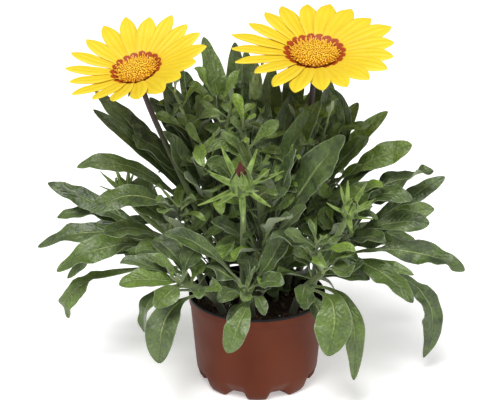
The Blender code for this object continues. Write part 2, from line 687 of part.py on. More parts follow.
def standing(points, centre, normal):
    """Points of a flower's own axes set at its centre, with its +Z along the normal."""
    normal = Vector(normal).normalized()
    toward = Vector((0.0, -1.0, 0.0))
    toward = (toward - normal * toward.dot(normal)).normalized()
    axes = Matrix((toward, normal.cross(toward), normal)).transposed()
    return [axes @ Vector(p) + Vector(centre) for p in points]


def turned(profile, sides, first=0.0):
    """Rings of a turned shape. A radius of nothing makes a tip."""
    rings = []
    for radius, height in profile:
        angles = [math.radians(first + 360.0 * i / sides) for i in range(sides)]
        ring = [Vector((radius * math.cos(a), radius * math.sin(a), height)) for a in angles]
        rings.append(ring if radius else [Vector((0.0, 0.0, height))])
    return rings


def make_rays(name, flower):
    """The yellow rays, fused at their feet by a thin ring."""
    outer, inner = flower.disc, flower.disc - 5.0
    under = -RING_THICKNESS
    loop = turned([(inner, 0), (outer, 0), (outer, under), (inner, under), (inner, 0)], RING_SIDES)
    points, faces = skin(loop, [], [])
    count = len(loop[0])
    keep = len(points) - count
    faces = [tuple(i - keep if i >= keep else i for i in face)[::-1] for face in faces]
    ring = add_object(f"{name}_rays", standing(points[:keep], flower.centre, flower.normal), faces, "ray")
    petals = []
    for k, ray in enumerate(rays_of(name, flower)):
        petal, faces = blade(
            RAY_STATIONS,
            lambda share, ray=ray: petal_frame(flower, ray, share),
            lambda share: RAY_THICKNESS,
            lambda share, ray=ray: ray_half_width(ray["width"], share),
            lambda share, ray=ray: (-0.5 * share, -0.5 * share),
        )
        petal = standing(petal, flower.centre, flower.normal)
        petals.append(add_object(f"petal_{k}", petal, faces, "ray"))
    return combine(f"{name}_rays", ring, petals, "UNION")


def make_disc(name, flower):
    """The dome of disc florets, raised from its surface, with a taller ring at its margin."""
    reach = flower.disc - 0.4
    rings = [turned([(0.0, DISC_DOME + FLORET_HEIGHT + SEAT_GAP)], 1)[0]]
    for j in range(1, DISC_RINGS + 1):
        out = reach * (j / DISC_RINGS) ** 0.8
        dome = SEAT_GAP + 1.2 + DISC_DOME * (1.0 - (out / reach) ** 2.5)
        tall = mix(FLORET_HEIGHT, RIM_FLORET_HEIGHT, smooth_step(0.6, 0.9, j / DISC_RINGS))
        ring = []
        for i in range(DISC_SIDES):
            angle = 2.0 * math.pi * (i + 0.37 * j) / DISC_SIDES
            raised = tall if (i + j) % 2 and j < DISC_RINGS else 0.0
            ring.append(Vector((out * math.cos(angle), out * math.sin(angle), dome + raised)))
        rings.append(ring)
    seat = SEAT_GAP + 0.3
    base = [Vector((p.x, p.y, seat)) for p in rings[-1]]
    points, faces = skin(rings + [base, [Vector((0.0, 0.0, seat))]], [], [])
    faces = [face[::-1] for face in faces]
    disc = add_object(f"{name}_disc", standing(points, flower.centre, flower.normal), faces, "floret")
    disc.data.shade_smooth()
    disc.data.set_sharp_from_angle(angle=math.radians(30))
    return disc


def bract(root, heading, length, width, curl):
    """Points and triangles of a narrow pointed bract that curls toward +Z along its length."""
    heading = Vector(heading).normalized()
    side = UP.cross(heading).normalized()
    normal = heading.cross(side)
    path = [Vector(root), Vector(root) + heading * length * 0.5,
            Vector(root) + heading * length + normal * curl * length]

    def place(share):
        """The bract's middle, side and normal at share of its length."""
        along = bezier_heading(path, share)
        return bezier(path, share), side, along.cross(side)

    return blade(
        (0.0, 0.35, 0.75),
        place,
        lambda share: BRACT_THICKNESS * (1.2 - 0.4 * share),
        lambda share: width / 2.0 * mix(0.8, 1.0, math.sin(math.pi * share)) * (1.0 - share ** 3),
        lambda share: (0.12 * width, 0.12 * width),
    )


def flower_stem(flower):
    """Control points of the stalk that carries a flower."""
    normal = Vector(flower.normal).normalized()
    head = Vector(flower.centre) - normal * (RING_THICKNESS + SEAT_GAP + CUP_HEIGHT - 2.0)
    return stem_controls(flower.foot, head, normal)


def make_flower_stem(name, flower):
    """The stalk with its green cup and the cup's teeth, in one body."""
    top = -RING_THICKNESS - SEAT_GAP
    foot = top - CUP_HEIGHT
    profile = [(0, top), (flower.cup, top), (flower.cup * 0.95, top - 3.0), (flower.cup * 0.6, top - 9.0),
               (PEDUNCLE_RADIUS * 1.3, foot), (0, foot)]
    points, faces = skin(turned(profile, CUP_SIDES), [], [])
    faces = [face[::-1] for face in faces]
    body = add_object(f"{name}_stem", standing(points, flower.centre, flower.normal), faces, "stalk")
    stalk = stem_mesh(flower_stem(flower), FLOWER_STEPS, PEDUNCLE_FOOT_RADIUS, PEDUNCLE_RADIUS)
    pieces = [add_object("stalk", *stalk, "stalk")]
    for k in range(CUP_TEETH):
        angle = 2.0 * math.pi * (k + 0.5) / CUP_TEETH
        out = Vector((math.cos(angle), math.sin(angle), 0.0))
        root = out * (flower.cup * 0.8) + UP * (top - 4.5)
        points, faces = bract(root, out - UP * 0.25, TOOTH_LENGTH, BRACT_WIDTH, TOOTH_CURL)
        points = standing(points, flower.centre, flower.normal)
        pieces.append(add_object(f"tooth_{k}", points, faces, "stalk"))
    return combine(f"{name}_stem", body, pieces, "UNION")


def bud_stem(bud):
    """Control points of the stalk that carries a bud."""
    return stem_controls(bud.foot, Vector(bud.centre) + Vector(bud.normal).normalized() * 2.0, bud.normal)


def make_bud(name, bud):
    """A bud: its stalk, the swollen green cup and the narrow bracts that stand away from it."""
    radius, height = bud.radius, bud.height
    profile = [(0, 0), (radius * 0.45, 0.4), (radius * 0.88, height * 0.2), (radius, height * 0.42),
               (radius * 0.78, height * 0.72), (radius * 0.42, height), (0, height)]
    points, faces = skin(turned(profile, BUD_SIDES), [], [])
    body = add_object(name, standing(points, bud.centre, bud.normal), faces, "bract")
    stalk = stem_mesh(bud_stem(bud), BUD_STEPS, BUD_STEM_RADIUS, BUD_STEM_RADIUS * 0.9)
    pieces = [add_object("stalk", *stalk, "bract")]
    draw = random.Random(name)
    for k in range(bud.bracts):
        turn = math.radians(GOLDEN_ANGLE * k + draw.uniform(-8, 8))
        level = (k + 0.5) / bud.bracts
        out = Vector((math.cos(turn), math.sin(turn), 0.0))
        root = out * radius * 0.62 + UP * height * mix(0.12, 0.55, level)
        rise = mix(-0.8, 1.3, level) * bud.spread + (1.0 - bud.spread) * 3.0
        length = bud.bract_length * draw.uniform(0.85, 1.15)
        points, faces = bract(root, out + UP * rise, length, BRACT_WIDTH, BRACT_CURL)
        points = standing(points, bud.centre, bud.normal)
        pieces.append(add_object(f"bract_{k}", points, faces, "bract"))
    return combine(name, body, pieces, "UNION")


def make_furled_rays(name, bud):
    """The dark tips of the rays still rolled up in a bud, seated on its mouth."""
    waist = (FURLED_RADIUS * 0.9, FURLED_HEIGHT * 0.35)
    rings = turned([(0, 0), (FURLED_RADIUS, 0), waist, (0, FURLED_HEIGHT)], BUD_SIDES)
    for j, ring in enumerate(rings[1:3]):
        for i in range(0, BUD_SIDES, 2):
            ring[i] = Vector((ring[i].x * 0.72, ring[i].y * 0.72, ring[i].z + 0.6 * j))
    points, faces = skin(rings, [], [])
    seat = Vector((0.0, 0.0, bud.height + SEAT_GAP))
    points = standing([p + seat for p in points], bud.centre, bud.normal)
    return add_object(f"{name}_rays", points, faces, "furled")


def hero_leaf(hero, root, order):
    """The leaf of one row of the outline's table."""
    tip = Vector(hero.tip)
    over = Vector((tip.x - root.x, tip.y - root.y, 0.0)).normalized()
    aside, out, up = hero.bow
    bow = (root + tip) / 2.0 + (UP.cross(over) * aside + over * out + UP * up) * 2.0
    stations = BROAD_STATIONS if hero.width >= BROAD_LEAF else SLIM_STATIONS
    phase = PHASE_STEP * order % 1.0
    return Leaf(root, bow, tip, hero.width, hero.twist, hero.wave, phase, stations, order, 0.0)


def fill_leaf(name, shoot, root, order):
    """The leaf that the rule adds: long and low on the shoot's outer side, short and upright inside."""
    draw = random.Random(f"{name} {order}")
    head = Vector(shoot.head)
    heading = math.radians(shoot.first + GOLDEN_ANGLE * order + draw.uniform(-10, 10))
    over = Vector((math.sin(heading), -math.cos(heading), 0.0))
    outward = 0.5 + 0.5 * over.dot(Vector((head.x, head.y, 0.0)).normalized())
    length = mix(shoot.length[0], shoot.length[1], outward) * draw.uniform(0.85, 1.1)
    rise = math.radians(mix(shoot.rise[1], shoot.rise[0], outward) + draw.uniform(-8, 8))
    tip = root + (over * math.cos(rise) + UP * math.sin(rise)) * length
    bow = (root + tip) / 2.0 + UP * length * draw.uniform(0.14, 0.30) + over * length * 0.05
    width = draw.uniform(*shoot.width)
    twist, wave = draw.uniform(-18, 18), draw.uniform(0.3, 1.2)
    return Leaf(root, bow, tip, width, twist, wave, draw.random(), FILL_STATIONS, order + FILL_RANK, 0.0)


def leaves_of(name, shoot):
    """Every leaf of a shoot, from the lowest on its stem to the heart, before any is nudged clear."""
    rows = [hero for hero in HEROES if hero.shoot == name]
    count = len(rows) + shoot.fills
    controls = stem_controls(shoot.foot, shoot.head)
    found = []
    for order in range(count):
        root = bezier(controls, mix(LOWEST_ROOT, 0.97, order / (count - 1)))
        if order < len(rows):
            leaf = hero_leaf(rows[order], root, order)
        else:
            leaf = fill_leaf(name, shoot, root, order)
        outward = (leaf.bow - root).normalized()
        leaf = leaf._replace(root=root + outward * ROOT_SINK)
        found.append(leaf._replace(turn=turn_to_light(leaf)))
    return found


def outer_blade(leaf, spare=0.0):
    """The leaf without the stalk that joins it to its shoot."""
    return leaf_mesh(leaf._replace(stations=leaf.stations[1:]), spare)


def clear_of(clearing, name, leaf):
    """The leaf swung by the first turn and lift that clears it, or nothing."""
    for turn, lift in NUDGES:
        tried = nudged(leaf, turn, lift)
        whole = leaf_mesh(tried, CLEARANCE)
        if min(p.z for p in whole[0]) < LOWEST_LEAF:
            continue
        if not clearing.crosses(name, whole, outer_blade(tried, OWN_CLEARANCE)):
            return tried
    return None


def place_leaves(clearing):
    """The leaves that clear one another, the flowers, the buds and the pot, shoot by shoot."""
    kept = {name: [] for name in SHOOTS}
    queue = [(leaf.rank, name, leaf) for name, shoot in SHOOTS.items() for leaf in leaves_of(name, shoot)]
    for _, name, leaf in sorted(queue, key=lambda row: row[:2]):
        placed = clear_of(clearing, name, leaf)
        if placed:
            clearing.add(name, leaf_mesh(placed), outer_blade(placed))
            kept[name].append(placed)
    return kept


def make_shoot(name, shoot, leaves):
    """A leafy shoot: its stem with the rosette of leaves fused to it."""
    controls = stem_controls(shoot.foot, shoot.head)
    mesh = stem_mesh(controls, SHOOT_STEPS, SHOOT_FOOT_RADIUS, SHOOT_HEAD_RADIUS)
    stem = add_object(name, *mesh, "leaf")
    pieces = [add_object(f"leaf_{k}", *leaf_mesh(leaf), "leaf") for k, leaf in enumerate(leaves)]
    return combine(name, stem, pieces, "UNION", smooth=35)


def fixed_nodes(shoot_stems):
    """The pot, the compost, the flowers and the buds."""
    stems = [(controls, SHOOT_FOOT_RADIUS) for controls in shoot_stems.values()]
    stems += [(flower_stem(flower), PEDUNCLE_FOOT_RADIUS) for flower in FLOWERS.values()]
    stems += [(bud_stem(bud), BUD_STEM_RADIUS) for bud in BUDS.values()]
    found = [make_pot(), make_compost(stems)]
    for name, flower in FLOWERS.items():
        found += [make_flower_stem(name, flower), make_rays(name, flower), make_disc(name, flower)]
    found += [make_bud(name, bud) for name, bud in BUDS.items()]
    found.append(make_furled_rays("bud_front", BUDS["bud_front"]))
    return found


def main():
    """Builds the fixed nodes first, and then the leaves that have to clear them."""
    clear_scene()
    shoot_stems = {name: stem_controls(s.foot, s.head) for name, s in SHOOTS.items()}
    clearing = Clearing()
    for obj in fixed_nodes(shoot_stems):
        clearing.add_object(obj)
    for name, controls in shoot_stems.items():
        foot, head = SHOOT_FOOT_RADIUS + SEAT_GAP, SHOOT_HEAD_RADIUS + SEAT_GAP
        clearing.add(name, stem_mesh(controls, SHOOT_STEPS, foot, head))
    for name, leaves in place_leaves(clearing).items():
        make_shoot(name, SHOOTS[name], leaves)


if __name__ == "__main__":
    main()
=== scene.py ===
"""The looks of a potted gazania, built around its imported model.

Each class holds the sizes of one sub-assembly, builds its meshes and dresses them. Sizes are in
millimetres and angles in degrees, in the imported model's frame: the origin is the middle of the pot's
underside, +Z is up and the plant's front faces -Y.
"""

import logging
import math
import random
from collections.abc import Callable, Iterator, Sequence
from contextlib import contextmanager
from dataclasses import dataclass, field, replace
from enum import Enum

import bpy
import numpy as np
from mathutils import Euler, Matrix, Vector, noise
from mathutils.kdtree import KDTree


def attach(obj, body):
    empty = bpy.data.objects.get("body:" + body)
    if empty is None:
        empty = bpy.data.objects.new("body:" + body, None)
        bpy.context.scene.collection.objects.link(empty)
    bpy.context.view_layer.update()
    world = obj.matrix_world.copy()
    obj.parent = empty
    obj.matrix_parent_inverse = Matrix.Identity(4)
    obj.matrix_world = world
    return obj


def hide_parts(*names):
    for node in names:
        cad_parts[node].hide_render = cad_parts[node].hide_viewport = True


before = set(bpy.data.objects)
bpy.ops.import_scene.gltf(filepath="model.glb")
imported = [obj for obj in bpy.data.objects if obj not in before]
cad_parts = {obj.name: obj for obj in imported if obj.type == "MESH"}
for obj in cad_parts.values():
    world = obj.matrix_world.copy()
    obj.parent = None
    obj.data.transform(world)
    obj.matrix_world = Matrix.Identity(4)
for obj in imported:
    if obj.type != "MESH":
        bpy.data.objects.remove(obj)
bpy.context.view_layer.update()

LOG = logging.getLogger("gazania")
MM = 0.001
UP = Vector((0.0, 0.0, 1.0))
GOLDEN_ANGLE = 137.508
BODY = "root"
UV_NAME = "UVMap"
TONE = "tone"
REACH = "reach"
EVEN = 0.5

# Width of the photograph in pixels, and the lens and place of its camera.
PHOTO_WIDTH = 500
SENSOR_WIDTH = 36.0
FOCAL_PIXELS = 1365.0
CAMERA_PLACE = (-5.4, -959.2, 499.1)
CAMERA_PITCH = 20.2

# Pot
RIM_RADIUS = 52.5
RIM_HEIGHT = 72.0
POT_WALL = 1.5
RIM_BAND = 7.0
BAND_STEP = 0.5
BLACK_LIP = 2.0
HEEL_RADIUS = 47.0
HEEL_HEIGHT = 13.0
FOOT_RADIUS = 42.0
FLOOR_THICKNESS = 2.2
LOBES = 8
LOBE_RISE = 4.5
LOBE_INSET = 2.6
DRAINS = 4
DRAIN_RADIUS = 3.0
DRAIN_REACH = 34.0
COMPOST_HEIGHT = 63.0
ROOT_DEPTH = 11.0

# Leaves and stems
SHOOT_FOOT_RADIUS = 3.1
SHOOT_HEAD_RADIUS = 2.3
PETIOLE_WIDTH = 2.8
PETIOLE_THICKNESS = 1.7
BLADE_THICKNESS = 0.8
NECK = 0.22
SHOULDER = 0.70
LIGHT = Vector((0.0, -0.6, 0.8))
MOST_TURN = 75.0
BLADE_MIDDLE = 0.62
LOWEST_ROOT = 0.45
ROOT_SINK = 1.2
PHASE_STEP = 0.37
# Turn and lift in degrees, in the order in which the solids try them.
NUDGES = ((0, 0), (4, 0), (-4, 0), (0, 4), (0, -4), (5, 5), (-5, 5), (8, 0), (-8, 0), (0, 9), (8, 8),
          (-8, 8), (12, 0), (-12, 0), (0, 14), (13, 9), (-13, 9), (18, 0), (-18, 0), (18, 14),
          (-18, 14), (24, 6), (-24, 6), (0, 22), (30, 12), (-30, 12))

# Flowers and buds
RING_THICKNESS = 2.0
RAY_THICKNESS = 0.7
RAY_BASE = 0.25
RAY_BROADEST = 0.62
RAY_ROLL = 10.0
SEAT_GAP = 0.3
CUP_HEIGHT = 14.0
CUP_TEETH = 9
TOOTH_LENGTH = 10.0
TOOTH_CURL = 0.05
PEDUNCLE_RADIUS = 2.0
DISC_DOME = 4.0
LOW_FOOT = 0.16
BRACT_WIDTH = 3.6
BRACT_CURL = 0.12
BUD_STEM_RADIUS = 2.3
FURLED_RADIUS = 3.6
FURLED_HEIGHT = 11.0


def smooth_step(low: float, high: float, value: float) -> float:
    """Rises smoothly from 0 to 1.

    Args:
        low: where the rise starts.
        high: where it ends.
        value: the place to read.

    Returns:
        0 below low, 1 above high, and a smooth share between.
    """
    share = min(1.0, max(0.0, (value - low) / (high - low)))
    return share * share * (3.0 - 2.0 * share)


def mix(low: float, high: float, share: float) -> float:
    """The value that share of the way from low to high."""
    return low + (high - low) * share


def bezier(points: Sequence[Vector], share: float) -> Vector:
    """The point at share of a Bezier curve.

    Args:
        points: its control points.
        share: how far along, from 0 to 1.

    Returns:
        The point.
    """
    points = list(points)
    while len(points) > 1:
        points = [a.lerp(b, share) for a, b in zip(points, points[1:])]
    return points[0]


def bezier_heading(points: Sequence[Vector], share: float) -> Vector:
    """The direction of that curve at share."""
    step = 0.01
    return (bezier(points, min(1.0, share + step)) - bezier(points, max(0.0, share - step))).normalized()


def stem_controls(foot: Vector, head: Vector, end: Vector | None = None) -> list[Vector]:
    """The control points of a stem that leaves the compost upright and leans to its head.

    Args:
        foot: where it leaves the compost.
        head: where it ends.
        end: the direction in which it arrives, if it has one.

    Returns:
        Three control points, or four with an end direction.
    """
    length = (head - foot).length
    start = (UP * 0.7 + (head - foot).normalized() * 0.6).normalized()
    if end is None:
        return [foot, foot + start * length * 0.5, head]
    return [foot, foot + start * length * 0.35, head - end.normalized() * length * 0.28, head]


# Modelling


def clear_selection() -> None:
    """Deselects every object."""
    bpy.ops.object.select_all(action="DESELECT")


@contextmanager
def editing(obj: bpy.types.Object) -> Iterator[None]:
    """Opens one object in edit mode.

    Args:
        obj: the object.

    Yields:
        Nothing; the object is back in object mode afterwards.
    """
    clear_selection()
    obj.select_set(True)
    bpy.context.view_layer.objects.active = obj
    bpy.ops.object.mode_set(mode="EDIT")
    yield
    bpy.ops.object.mode_set(mode="OBJECT")


def apply_modifier(obj: bpy.types.Object, kind: str, **settings: object) -> None:
    """Adds a modifier and applies it.

    Args:
        obj: the object.
        kind: the modifier's type.
        settings: its values by name.
    """
    modifier = obj.modifiers.new(kind.title(), kind)
    for name, value in settings.items():
        setattr(modifier, name, value)
    clear_selection()
    obj.select_set(True)
    bpy.context.view_layer.objects.active = obj
    bpy.ops.object.modifier_apply(modifier=modifier.name)


def primitive(operator: Callable, name: str, **settings: object) -> bpy.types.Object:
    """Adds a primitive.

    Args:
        operator: the operator that adds it.
        name: the object's name.
        settings: the operator's values.

    Returns:
        The new object.
    """
    clear_selection()
    operator(**settings)
    obj = bpy.context.active_object
    obj.name = obj.data.name = name
    return obj


def copy_of(mesh: bpy.types.Mesh, name: str) -> bpy.types.Object:
    """A new object with its own copy of a mesh."""
    obj = bpy.data.objects.new(name, mesh.copy())
    bpy.context.scene.collection.objects.link(obj)
    return obj


def joined(name: str, objects: Sequence[bpy.types.Object]) -> bpy.types.Object:
    """Joins objects into the first of them.

    Args:
        name: the name of the result.
        objects: the objects.

    Returns:
        The one object that holds them all.
    """
    clear_selection()
    for obj in objects:
        obj.select_set(True)
    bpy.context.view_layer.objects.active = objects[0]
    if len(objects) > 1:
        bpy.ops.object.join()
    objects[0].name = objects[0].data.name = name
    return objects[0]


def coordinates(mesh: bpy.types.Mesh) -> np.ndarray:
    """A mesh's vertices as rows of three numbers."""
    found = np.empty(len(mesh.vertices) * 3, np.float32)
    mesh.vertices.foreach_get("co", found)
    return found.reshape(-1, 3).astype(float)


def place_vertices(mesh: bpy.types.Mesh, points: np.ndarray) -> None:
    """Moves every vertex of a mesh.

    Args:
        mesh: the mesh.
        points: the new places in metres, a row for each vertex.
    """
    mesh.vertices.foreach_set("co", points.astype(np.float32).ravel())
    mesh.update()


def mark(mesh: bpy.types.Mesh, name: str, values: np.ndarray | float) -> None:
    """Stores a number at each vertex for the finishes to read.

    Args:
        mesh: the mesh.
        name: the attribute's name.
        values: a number for each vertex, or one for all.
    """
    attribute = mesh.attributes.get(name) or mesh.attributes.new(name, "FLOAT", "POINT")
    found = np.broadcast_to(np.asarray(values, np.float32), (len(mesh.vertices),))
    attribute.data.foreach_set("value", np.ascontiguousarray(found))


def dress(obj: bpy.types.Object, *materials: bpy.types.Material) -> bpy.types.Object:
    """Gives an object its finishes, in the order of its slots."""
    obj.data.materials.clear()
    for material in materials:
        obj.data.materials.append(material)
    return obj


def turned(name: str, profile: Sequence[tuple[float, float]], sides: int) -> bpy.types.Object:
    """Turns a closed solid by extruding a disc along a profile.

    Args:
        name: the object's name.
        profile: radius and height of each ring, none with a radius of nothing.
        sides: how many sides it has.

    Returns:
        The solid, standing on the origin.
    """
    radius, height = profile[0]
    obj = primitive(bpy.ops.mesh.primitive_circle_add, name, vertices=sides, radius=radius * MM,
                    fill_type="NGON", location=(0.0, 0.0, height * MM))
    bpy.ops.object.transform_apply(location=True, rotation=True, scale=True)
    with editing(obj):
        bpy.ops.mesh.select_all(action="SELECT")
        for wide, high in profile[1:]:
            shift = (0.0, 0.0, (high - height) * MM)
            bpy.ops.mesh.extrude_region_move(TRANSFORM_OT_translate={"value": shift})
            bpy.ops.transform.resize(value=(wide / radius, wide / radius, 1.0),
                                     center_override=(0.0, 0.0, high * MM))
            radius, height = wide, high
        bpy.ops.mesh.select_all(action="SELECT")
        bpy.ops.mesh.normals_make_consistent(inside=False)
    return obj


class Stock:
    """Template meshes that are modelled once and copied."""

    def __init__(self) -> None:
        """Starts with nothing modelled."""
        self.made: dict[tuple, bpy.types.Mesh] = {}

    def kept(self, key: tuple, model: Callable[[], bpy.types.Object]) -> bpy.types.Mesh:
        """The template of that key, modelled the first time.

        Args:
            key: what the template is.
            model: makes it.

        Returns:
            The template's mesh.
        """
        if key not in self.made:
            obj = model()
            self.made[key] = obj.data
            bpy.data.objects.remove(obj)
        return self.made[key]

    def sheet(self, columns: int, rows: int) -> bpy.types.Mesh:
        """A flat sheet, columns strips across and rows along."""
        return self.kept(("sheet", columns, rows), lambda: primitive(
            bpy.ops.mesh.primitive_grid_add, "sheet", x_subdivisions=columns, y_subdivisions=rows, size=1.0))

    def rod(self, sides: int, steps: int) -> bpy.types.Mesh:
        """A straight rod from z -0.5 to 0.5, cut into steps along its length.

        Args:
            sides: how many sides it has.
            steps: how many lengths.

        Returns:
            The template's mesh.
        """

        def model() -> bpy.types.Object:
            """Cuts a cylinder's upright edges."""
            obj = primitive(bpy.ops.mesh.primitive_cylinder_add, "rod", vertices=sides, radius=1.0, depth=1.0,
                            end_fill_type="NGON")
            with editing(obj):
                bpy.ops.mesh.select_all(action="DESELECT")
                bpy.ops.object.mode_set(mode="OBJECT")
                for edge in obj.data.edges:
                    a, b = (obj.data.vertices[i].co for i in edge.vertices)
                    edge.select = abs(a.z - b.z) > 0.5
                bpy.ops.object.mode_set(mode="EDIT")
                bpy.ops.mesh.select_mode(type="EDGE")
                bpy.ops.mesh.subdivide(number_cuts=steps - 1)
            return obj

        return self.kept(("rod", sides, steps), model)

    def crumb(self) -> bpy.types.Mesh:
        """A rough little lump."""

        def model() -> bpy.types.Object:
            """Squeezes a coarse ball out of round."""
            obj = primitive(bpy.ops.mesh.primitive_ico_sphere_add, "crumb", subdivisions=1, radius=1.0)
            points = coordinates(obj.data)
            rough = [0.8 + 0.5 * noise.noise(Vector(p) * 1.7) for p in points]
            place_vertices(obj.data, points * np.array(rough)[:, None])
            return obj

        return self.kept(("crumb",), model)

    def floret(self) -> bpy.types.Mesh:
        """A tube floret with a flared five-sided mouth, one unit tall."""

        def model() -> bpy.types.Object:
            """Insets a flared prism's top and sinks it."""
            obj = primitive(bpy.ops.mesh.primitive_cone_add, "floret", vertices=5, radius1=0.22, radius2=0.34,
                            depth=1.0, location=(0.0, 0.0, 0.5))
            bpy.ops.object.transform_apply(location=True, rotation=True, scale=True)
            with editing(obj):
                bpy.ops.mesh.select_all(action="DESELECT")
                bpy.ops.object.mode_set(mode="OBJECT")
                for face in obj.data.polygons:
                    face.select = face.center.z > 0.9
                bpy.ops.object.mode_set(mode="EDIT")
                bpy.ops.mesh.select_mode(type="FACE")
                bpy.ops.mesh.inset(thickness=0.12)
                bpy.ops.transform.translate(value=(0.0, 0.0, -0.16))
            return obj

        return self.kept(("floret",), model)


STOCK = Stock()


def lay_sheet(name: str, columns: Sequence[float], shares: Sequence[float],
              place: Callable[[float, float], Vector], tone: float) -> bpy.types.Object:
    """Lays a flat sheet on a blade's surface.

    Args:
        name: the object's name.
        columns: where its lengthwise lines lie, from -1 to 1 across the blade.
        shares: where its crosswise lines lie, from 0 to 1 along it.
        place: gives the point in millimetres at a column and a share.
        tone: the number that the finish varies by.

    Returns:
        The sheet, with its UVs running across and along the blade.
    """
    wide, long = len(columns) - 1, len(shares) - 1
    obj = copy_of(STOCK.sheet(wide, long), name)
    flat = coordinates(obj.data)
    across = np.rint((flat[:, 0] + 0.5) * wide).astype(int)
    along = np.rint((flat[:, 1] + 0.5) * long).astype(int)
    spots = [[place(column, share) for column in columns] for share in shares]
    place_vertices(obj.data, np.array([spots[j][i] for i, j in zip(across, along)]) * MM)
    corners = np.empty(len(obj.data.loops), np.int32)
    obj.data.loops.foreach_get("vertex_index", corners)
    map_across = (np.array(columns)[across] + 1.0) / 2.0
    map_along = np.array(shares)[along]
    layer = obj.data.uv_layers[0]
    layer.name = UV_NAME
    pairs = np.stack([map_across[corners], map_along[corners]], 1).astype(np.float32)
    layer.uv.foreach_set("vector", pairs.ravel())
    mark(obj.data, TONE, tone)
    return obj


def lay_rod(name: str, controls: Sequence[Vector], shares: Sequence[float], sides: int,
            radius: Callable[[float], float], tone: float = 0.5) -> bpy.types.Object:
    """Bends a straight rod along a curve.

    Args:
        name: the object's name.
        controls: the curve's control points.
        shares: where its rings lie, below 0 for a straight root.
        sides: how many sides it has.
        radius: gives the radius at a share.
        tone: the number that the finish varies by.

    Returns:
        The rod, with its share along the curve stored for the finish.
    """
    steps = len(shares) - 1
    obj = copy_of(STOCK.rod(sides, steps), name)
    straight = coordinates(obj.data)
    rings = np.rint((straight[:, 2] + 0.5) * steps).astype(int)
    length = (controls[-1] - controls[0]).length
    frames = []
    for share in shares:
        heading = bezier_heading(controls, max(0.0, share))
        centre = bezier(controls, max(0.0, share)) + heading * min(0.0, share) * length
        side = Vector((1.0, 0.0, 0.0))
        side = (side - heading * side.dot(heading)).normalized()
        frames.append((centre, side * radius(share), heading.cross(side) * radius(share)))
    points = [frames[k][0] + frames[k][1] * x + frames[k][2] * y for k, (x, y, _) in zip(rings, straight)]
    place_vertices(obj.data, np.array(points) * MM)
    mark(obj.data, TONE, tone)
    mark(obj.data, REACH, np.array(shares)[rings])
    return obj


def finish_piece(obj: bpy.types.Object, slot: str, *nodes: str, angle: float = 40.0) -> bpy.types.Object:
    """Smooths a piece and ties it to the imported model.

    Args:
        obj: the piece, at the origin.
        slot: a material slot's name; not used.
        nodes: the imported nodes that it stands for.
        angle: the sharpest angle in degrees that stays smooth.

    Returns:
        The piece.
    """
    clear_selection()
    obj.select_set(True)
    bpy.context.view_layer.objects.active = obj
    bpy.ops.object.shade_smooth_by_angle(angle=math.radians(angle))
    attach(obj, BODY)
    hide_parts(*nodes)
    LOG.info("%s: %d faces for %s", obj.name, len(obj.data.polygons), ", ".join(nodes))
    return obj


# Finishes

Colour = tuple[float, float, float]


